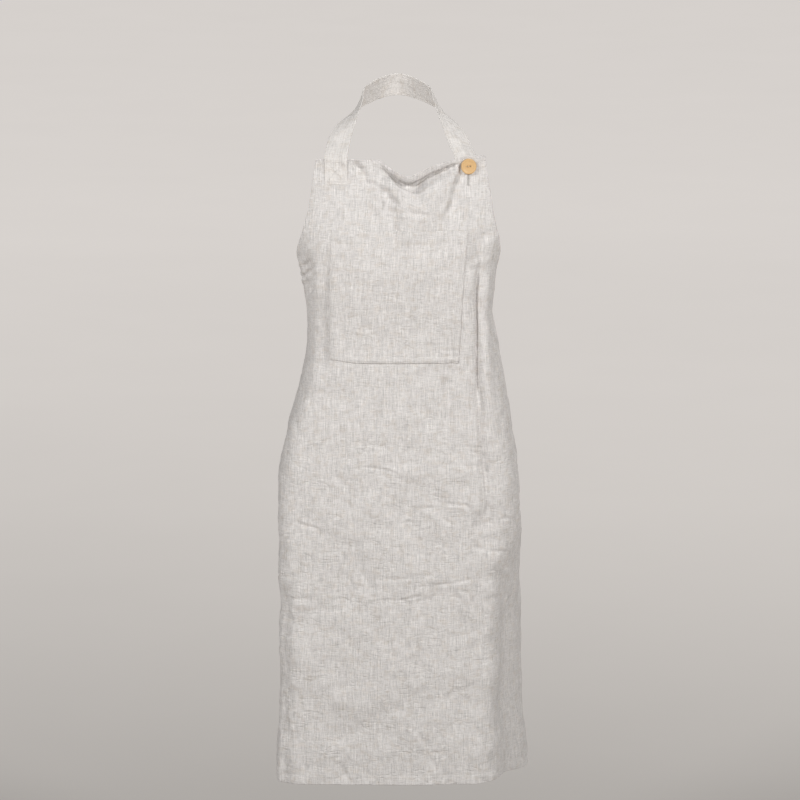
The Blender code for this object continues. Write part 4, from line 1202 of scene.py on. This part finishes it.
def turned(name, profile, sides):
    """Closed turned solid round +Z from a profile of radius and height, both ends on the axis."""
    angle = 2.0 * math.pi * np.arange(sides) / sides
    points = [(0.0, 0.0, profile[0][1])]
    for radius, height in profile[1:-1]:
        points += [(radius * math.cos(a), radius * math.sin(a), height) for a in angle]
    last = len(points)
    points.append((0.0, 0.0, profile[-1][1]))
    faces = [[0, 1 + (side + 1) % sides, 1 + side] for side in range(sides)]
    faces += tube_faces(len(profile) - 2, sides, 1).tolist()
    faces += [[last, last - sides + side, last - sides + (side + 1) % sides] for side in range(sides)]
    return mesh_from(name, points, faces)


def carved(mesh, cutters):
    """The mesh with each cutter mesh cut out of it."""
    block = add_object("block", mesh)
    tools = [add_object("tool", cutter) for cutter in cutters]
    for tool in tools:
        cut = block.modifiers.new("Cut", "BOOLEAN")
        cut.operation = "DIFFERENCE"
        cut.solver = "EXACT"
        cut.object = tool
    graph = bpy.context.evaluated_depsgraph_get()
    result = bpy.data.meshes.new_from_object(block.evaluated_get(graph))
    for item in [block] + tools:
        bpy.data.objects.remove(item, do_unlink=True)
    return result


def make_button(material):
    """Dished wooden button with a rounded rim and two drilled eyes with eased edges."""
    radius = BUTTON_DIAMETER / 2
    thick = BUTTON_THICKNESS
    rim = 0.0009
    dish = thick * 0.76
    profile = [(0.0, 0.0), (radius - rim * 1.4, 0.0)]
    for turn in np.radians(np.linspace(-80, 80, 9)):
        profile.append((radius - rim + rim * math.cos(turn), thick / 2 * (1.0 + math.sin(turn))))
    for inset, share in ((0.0014, 1.0), (0.0021, 0.985), (0.0028, 0.93), (0.0036, 0.85), (0.0046, 0.80),
                         (0.0060, 0.775)):
        profile.append((radius - inset, thick * share))
    profile += [(radius * 0.25, dish), (0.0, dish)]
    hole = EYE_DIAMETER / 2
    eased = hole + 0.0003
    drill = [(0.0, -thick), (hole, -thick), (hole, dish - 0.0003), (hole + 0.0001, dish - 0.00014),
             (eased, dish + 0.00001), (eased, 2 * thick), (0.0, 2 * thick)]
    eyes = []
    for side in (-1.0, 1.0):
        eye = turned("eye", drill, 36)
        eye.transform(Matrix.Translation((side * EYE_SPACING / 2, 0.0, 0.0)))
        eyes.append(eye)
    mesh = carved(turned("button_wood", profile, 96), eyes)
    add_piece("wood_button", mesh, material, "button", button_frame())
    mesh.set_sharp_from_angle(angle=math.radians(40))


def thread_path():
    """Thread through both eyes, then one leg above the other down the slit."""
    face = BUTTON_THICKNESS * 0.78 + CLEARANCE + THREAD / 2
    under = -CLEARANCE - THREAD / 2
    foot = -BUTTON_LIFT - HEM_CLOTH / 2 + THREAD / 2
    leg = EYE_SPACING / 2
    turn = THREAD * 0.65
    pair = THREAD * 0.75
    half = [(leg * 0.35, 0.0, face)]
    bends = [(leg - turn, 0.0, face - turn, a) for a in (90.0, 45.0, 0.0)]
    for x, z, curve in ((leg - turn, under + turn, ((0.0, 0.0), (-45.0, 0.1), (-90.0, 0.25))),
                        (turn, under - turn, ((90.0, 0.75), (135.0, 0.9), (180.0, 1.0)))):
        bends += [(x, pair * apart, z, angle) for angle, apart in curve]
    for x, y, z, angle in bends:
        half.append((x + turn * math.cos(math.radians(angle)), y, z + turn * math.sin(math.radians(angle))))
    half += [(0.0, pair, foot + pair), (0.0, pair * 0.7, foot + pair * 0.3)]
    return np.array(half + [(0.0, 0.0, foot)] + [(-x, -y, z) for x, y, z in reversed(half)])


def rounded_loop(path, times):
    """A closed path with its corners cut again and again."""
    for _ in range(times):
        after = np.roll(path, -1, axis=0)
        path = np.stack([path * 0.75 + after * 0.25, path * 0.25 + after * 0.75], 1).reshape(-1, 3)
    return path


def make_thread(material):
    """Two plies twisted round the thread's path."""
    path = rounded_loop(thread_path(), 3)
    ahead = unit(np.roll(path, -1, axis=0) - np.roll(path, 1, axis=0))
    side = np.cross(ahead[0], (0.0, 1.0, 0.0))
    frames = []
    for way in ahead:
        side = unit(side - way * side.dot(way))
        frames.append((side, np.cross(way, side)))

    def around(angle, sideways, other):
        return math.cos(angle) * sideways + math.sin(angle) * other

    count = len(path)
    points, faces = [], []
    for ply in range(2):
        first = len(points)
        for k, ways in enumerate(frames):
            centre = path[k] + THREAD * 0.22 * around(2.0 * math.pi * (k / count * 16 + ply / 2), *ways)
            points += [centre + THREAD * 0.27 * around(2.0 * math.pi * at / 8, *ways) for at in range(8)]
        faces += tube_faces(count, 8, first).tolist()
        faces.append(list(range(first, first + 8))[::-1])
        faces.append(list(range(len(points) - 8, len(points))))
    mesh = mesh_from("button_twine", points, faces)
    add_piece("button_twine", mesh, material, "button_thread", button_frame())


def knot_place():
    edges = cloth_point(np.array([-SKIRT_WIDTH / 2, SKIRT_WIDTH / 2]), np.full(2, TIE_DROP))
    return edges.mean(axis=0) + np.array([0.0, TIE_STANDOFF, 0.0])


def tie_row(middle, up, flare):
    """Row across a tie, gathered into soft pleats and arched back where its flare is under one."""
    row = middle + FINE_SPREAD[:, None] * up * flare * TIE_WIDTH / 2
    arch = KNOT_DEPTH * 0.2 * (1.0 - FINE_SPREAD ** 2) + 0.0028 * np.cos(FINE_SPREAD * 9.0)
    row[:, 1] += (1.0 - flare) * arch
    return row


def tie_waves(side, run):
    return smooth((run - 0.028) / 0.02) * wrinkles(TIE_WRINKLES, side, run)


def tie_ribbon(name, rows, count, material, node):
    return ribbon(name, ribbon_points(rows, count), TIE_WIDTH, TIE_THICK, tie_waves, material, node)


def make_tie(way, hand, knot, material):
    drops = TIE_DROP - FINE_SPREAD * TIE_WIDTH / 2
    rows = []
    for run, lapped in ((0.0, 1.0), (0.12, 0.7), (0.24, 0.35), (0.36, 0.0)):
        across = way * (SKIRT_WIDTH / 2 - TIE_LAP * lapped)
        rows.append((run, on_cloth(across, drops, HEM_THICK / 2 + CLEARANCE + TIE_CLOTH / 2)))
    start = rows[-1][1].mean(axis=0)
    finish = knot + np.array([way * (KNOT_WIDTH / 2 + CLEARANCE + TIE_CLOTH * 0.3), -KNOT_DEPTH * 0.32, 0.0])
    for run, share, flare in ((0.58, 0.36, 0.92), (0.80, 0.70, 0.66), (1.0, 1.0, 0.45)):
        place = start + (finish - start) * share
        place[1] += TIE_STANDOFF * 0.35 * math.sin(math.pi * share)
        rows.append((run, tie_row(place, np.array([0.0, 0.0, 1.0]), flare)))
    return tie_ribbon("tie_cloth_" + hand, rows, TIE_ROWS, material, "waist_tie_" + hand)


def bow_rows(table, way, length, start, up, leant):
    rows = []
    for run, out, down, back, flare in table:
        place = start + np.array([way * out * length, back * KNOT_DEPTH, -down * length])
        rows.append((run, tie_row(place, up + (leant - up) * smooth(out * 4.0), flare)))
    return rows


def make_bow(way, hand, knot, material):
    seat = CLEARANCE + TIE_CLOTH * 0.3
    across = np.array([way, 0.0, 0.0])
    start = knot + np.array([way * (KNOT_WIDTH / 2 + seat), 0.0, KNOT_HEIGHT * 0.06])
    up, leant = np.array([(0.0, 0.0, 1.0), (way * 0.34, 0.0, 0.94)])
    loop = bow_rows(LOOP, way, LOOP_LENGTH, start, up, leant)
    start = knot + np.array([way * KNOT_WIDTH * 0.24, 0.0, -KNOT_HEIGHT / 2 - seat])
    tail = bow_rows(TAIL, way, TAIL_LENGTH, start, across, across)
    return [tie_ribbon("loop_cloth_" + hand, loop, LOOP_ROWS, material, "bow_loop_" + hand),
            tie_ribbon("tail_cloth_" + hand, tail, TAIL_ROWS, material, "bow_tail_" + hand)]


def make_knot(knot, material):
    """Pillow of wrapped cloth, creased round its middle by the turn of the tie."""
    tilt = np.linspace(-0.5, 0.5, KNOT_ROWS) * math.pi
    turn = np.linspace(0.0, 2.0, KNOT_COLUMNS) * math.pi
    tilt, turn = np.broadcast_arrays(tilt[:, None], turn)
    ball = np.stack([np.cos(tilt) * np.cos(turn), np.cos(tilt) * np.sin(turn), np.sin(tilt)], 2)
    box = ball / ((np.abs(ball) ** 4.0).sum(axis=2, keepdims=True) ** 0.25)
    wrap = box[..., 2] * 5.0 + box[..., 0] * 1.4
    crease = (0.00055 * np.cos(wrap * 2.2) + 0.0003 * np.cos(wrap * 5.1 + 1.0)) * np.cos(tilt) - 0.0004
    points = knot + box * (KNOT_WIDTH / 2, KNOT_DEPTH / 2, KNOT_HEIGHT / 2) + ball * crease[..., None]
    index = np.arange(tilt.size).reshape(tilt.shape)
    faces = np.stack([index[:-1, :-1], index[:-1, 1:], index[1:, 1:], index[1:, :-1]], 2).reshape(-1, 4)
    mesh = mesh_from("knot_cloth", points, faces, np.stack([turn * 0.013, tilt * 0.011], 2))
    return add_piece("knot_cloth", mesh, material, "bow_knot")


def area_light(name, place, aim, size, power, colour):
    data = bpy.data.lights.new(name, "AREA")
    data.shape = "DISK"
    data.size = size
    data.energy = power
    data.color = colour
    light = add_object(name, data)
    light.location = place
    light.rotation_euler = (Vector(aim) - Vector(place)).to_track_quat("-Z", "Y").to_euler()


def make_camera():
    data = bpy.data.cameras.new("camera")
    data.lens = CAMERA_LENS
    data.sensor_width = 36.0
    data.clip_start = 0.1
    data.clip_end = 200.0
    camera = add_object("camera", data)
    camera.location = CAMERA_PLACE
    camera.rotation_euler = (math.pi / 2 - CAMERA_PITCH, 0.0, 0.0)
    bpy.context.scene.camera = camera


def make_world():
    """A dim soft light from all sides, behind which a pale wall is seen."""
    world = bpy.data.worlds.new("studio")
    net = Net(world, "Background")
    net.set(Color=WORLD_TONE, Strength=WORLD_LIGHT)
    seen = net.add("LightPath", output="Is Camera Ray")
    wall = net.add("Background", {"Color": WALL_TONE})
    both = net.add("MixShader", enumerate((seen, net.shader.outputs[0], wall)))
    net.feed(net.tree.nodes["World Output"].inputs["Surface"], both)
    bpy.context.scene.world = world


def make_studio():
    make_camera()
    make_world()
    for lamp in LAMPS:
        area_light(*lamp)
    square = ((-1, -1), (1, -1), (1, 1), (-1, 1))
    corners = [(FLOOR_REACH * x, FLOOR_REACH * y, FLOOR_HEIGHT) for x, y in square]
    floor = add_object("floor", mesh_from("floor", corners, [(0, 1, 2, 3)]))
    floor.data.materials.append(plain_floor("floor"))
    bpy.context.scene.view_settings.view_transform = "Standard"


def dress():
    cloth = linen("linen", CLOTH_TONE, 1.0)
    # Same linen for straps, ties and bow, its tone painted lighter as painted bounce light.
    tape = linen("linen_strap", TAPE_TONE_PAINTED_LIGHTER, 0.65)
    stitching = twine("stitching", STITCH_TONE)
    panel = make_panel(cloth)
    pocket = make_pocket(cloth)
    hems = make_hem_stitches(stitching)
    pocket_seams = make_pocket_stitches(stitching)
    hole = make_buttonhole(stitching)
    strap, seams, strap_length = make_neck_strap(tape)
    box = make_strap_box(stitching)
    strap_seams = add_stitches("strap_stitches", seams, stitching)
    area = float(np.mean(2.0 * half_width(np.linspace(0.0, PANEL_LENGTH, 400))) * PANEL_LENGTH)
    place = knot_place()
    knot = make_knot(place, tape)
    parts = []
    for way, hand in ((-1.0, "left"), (1.0, "right")):
        for item, seams, length in [make_tie(way, hand, place, tape)] + make_bow(way, hand, place, tape):
            parts += seams
    add_stitches("tie_stitches", parts, stitching)
    make_button(turned_wood("button_wood"))
    make_thread(twine("thread", THREAD_TONE))


make_studio()
dress()
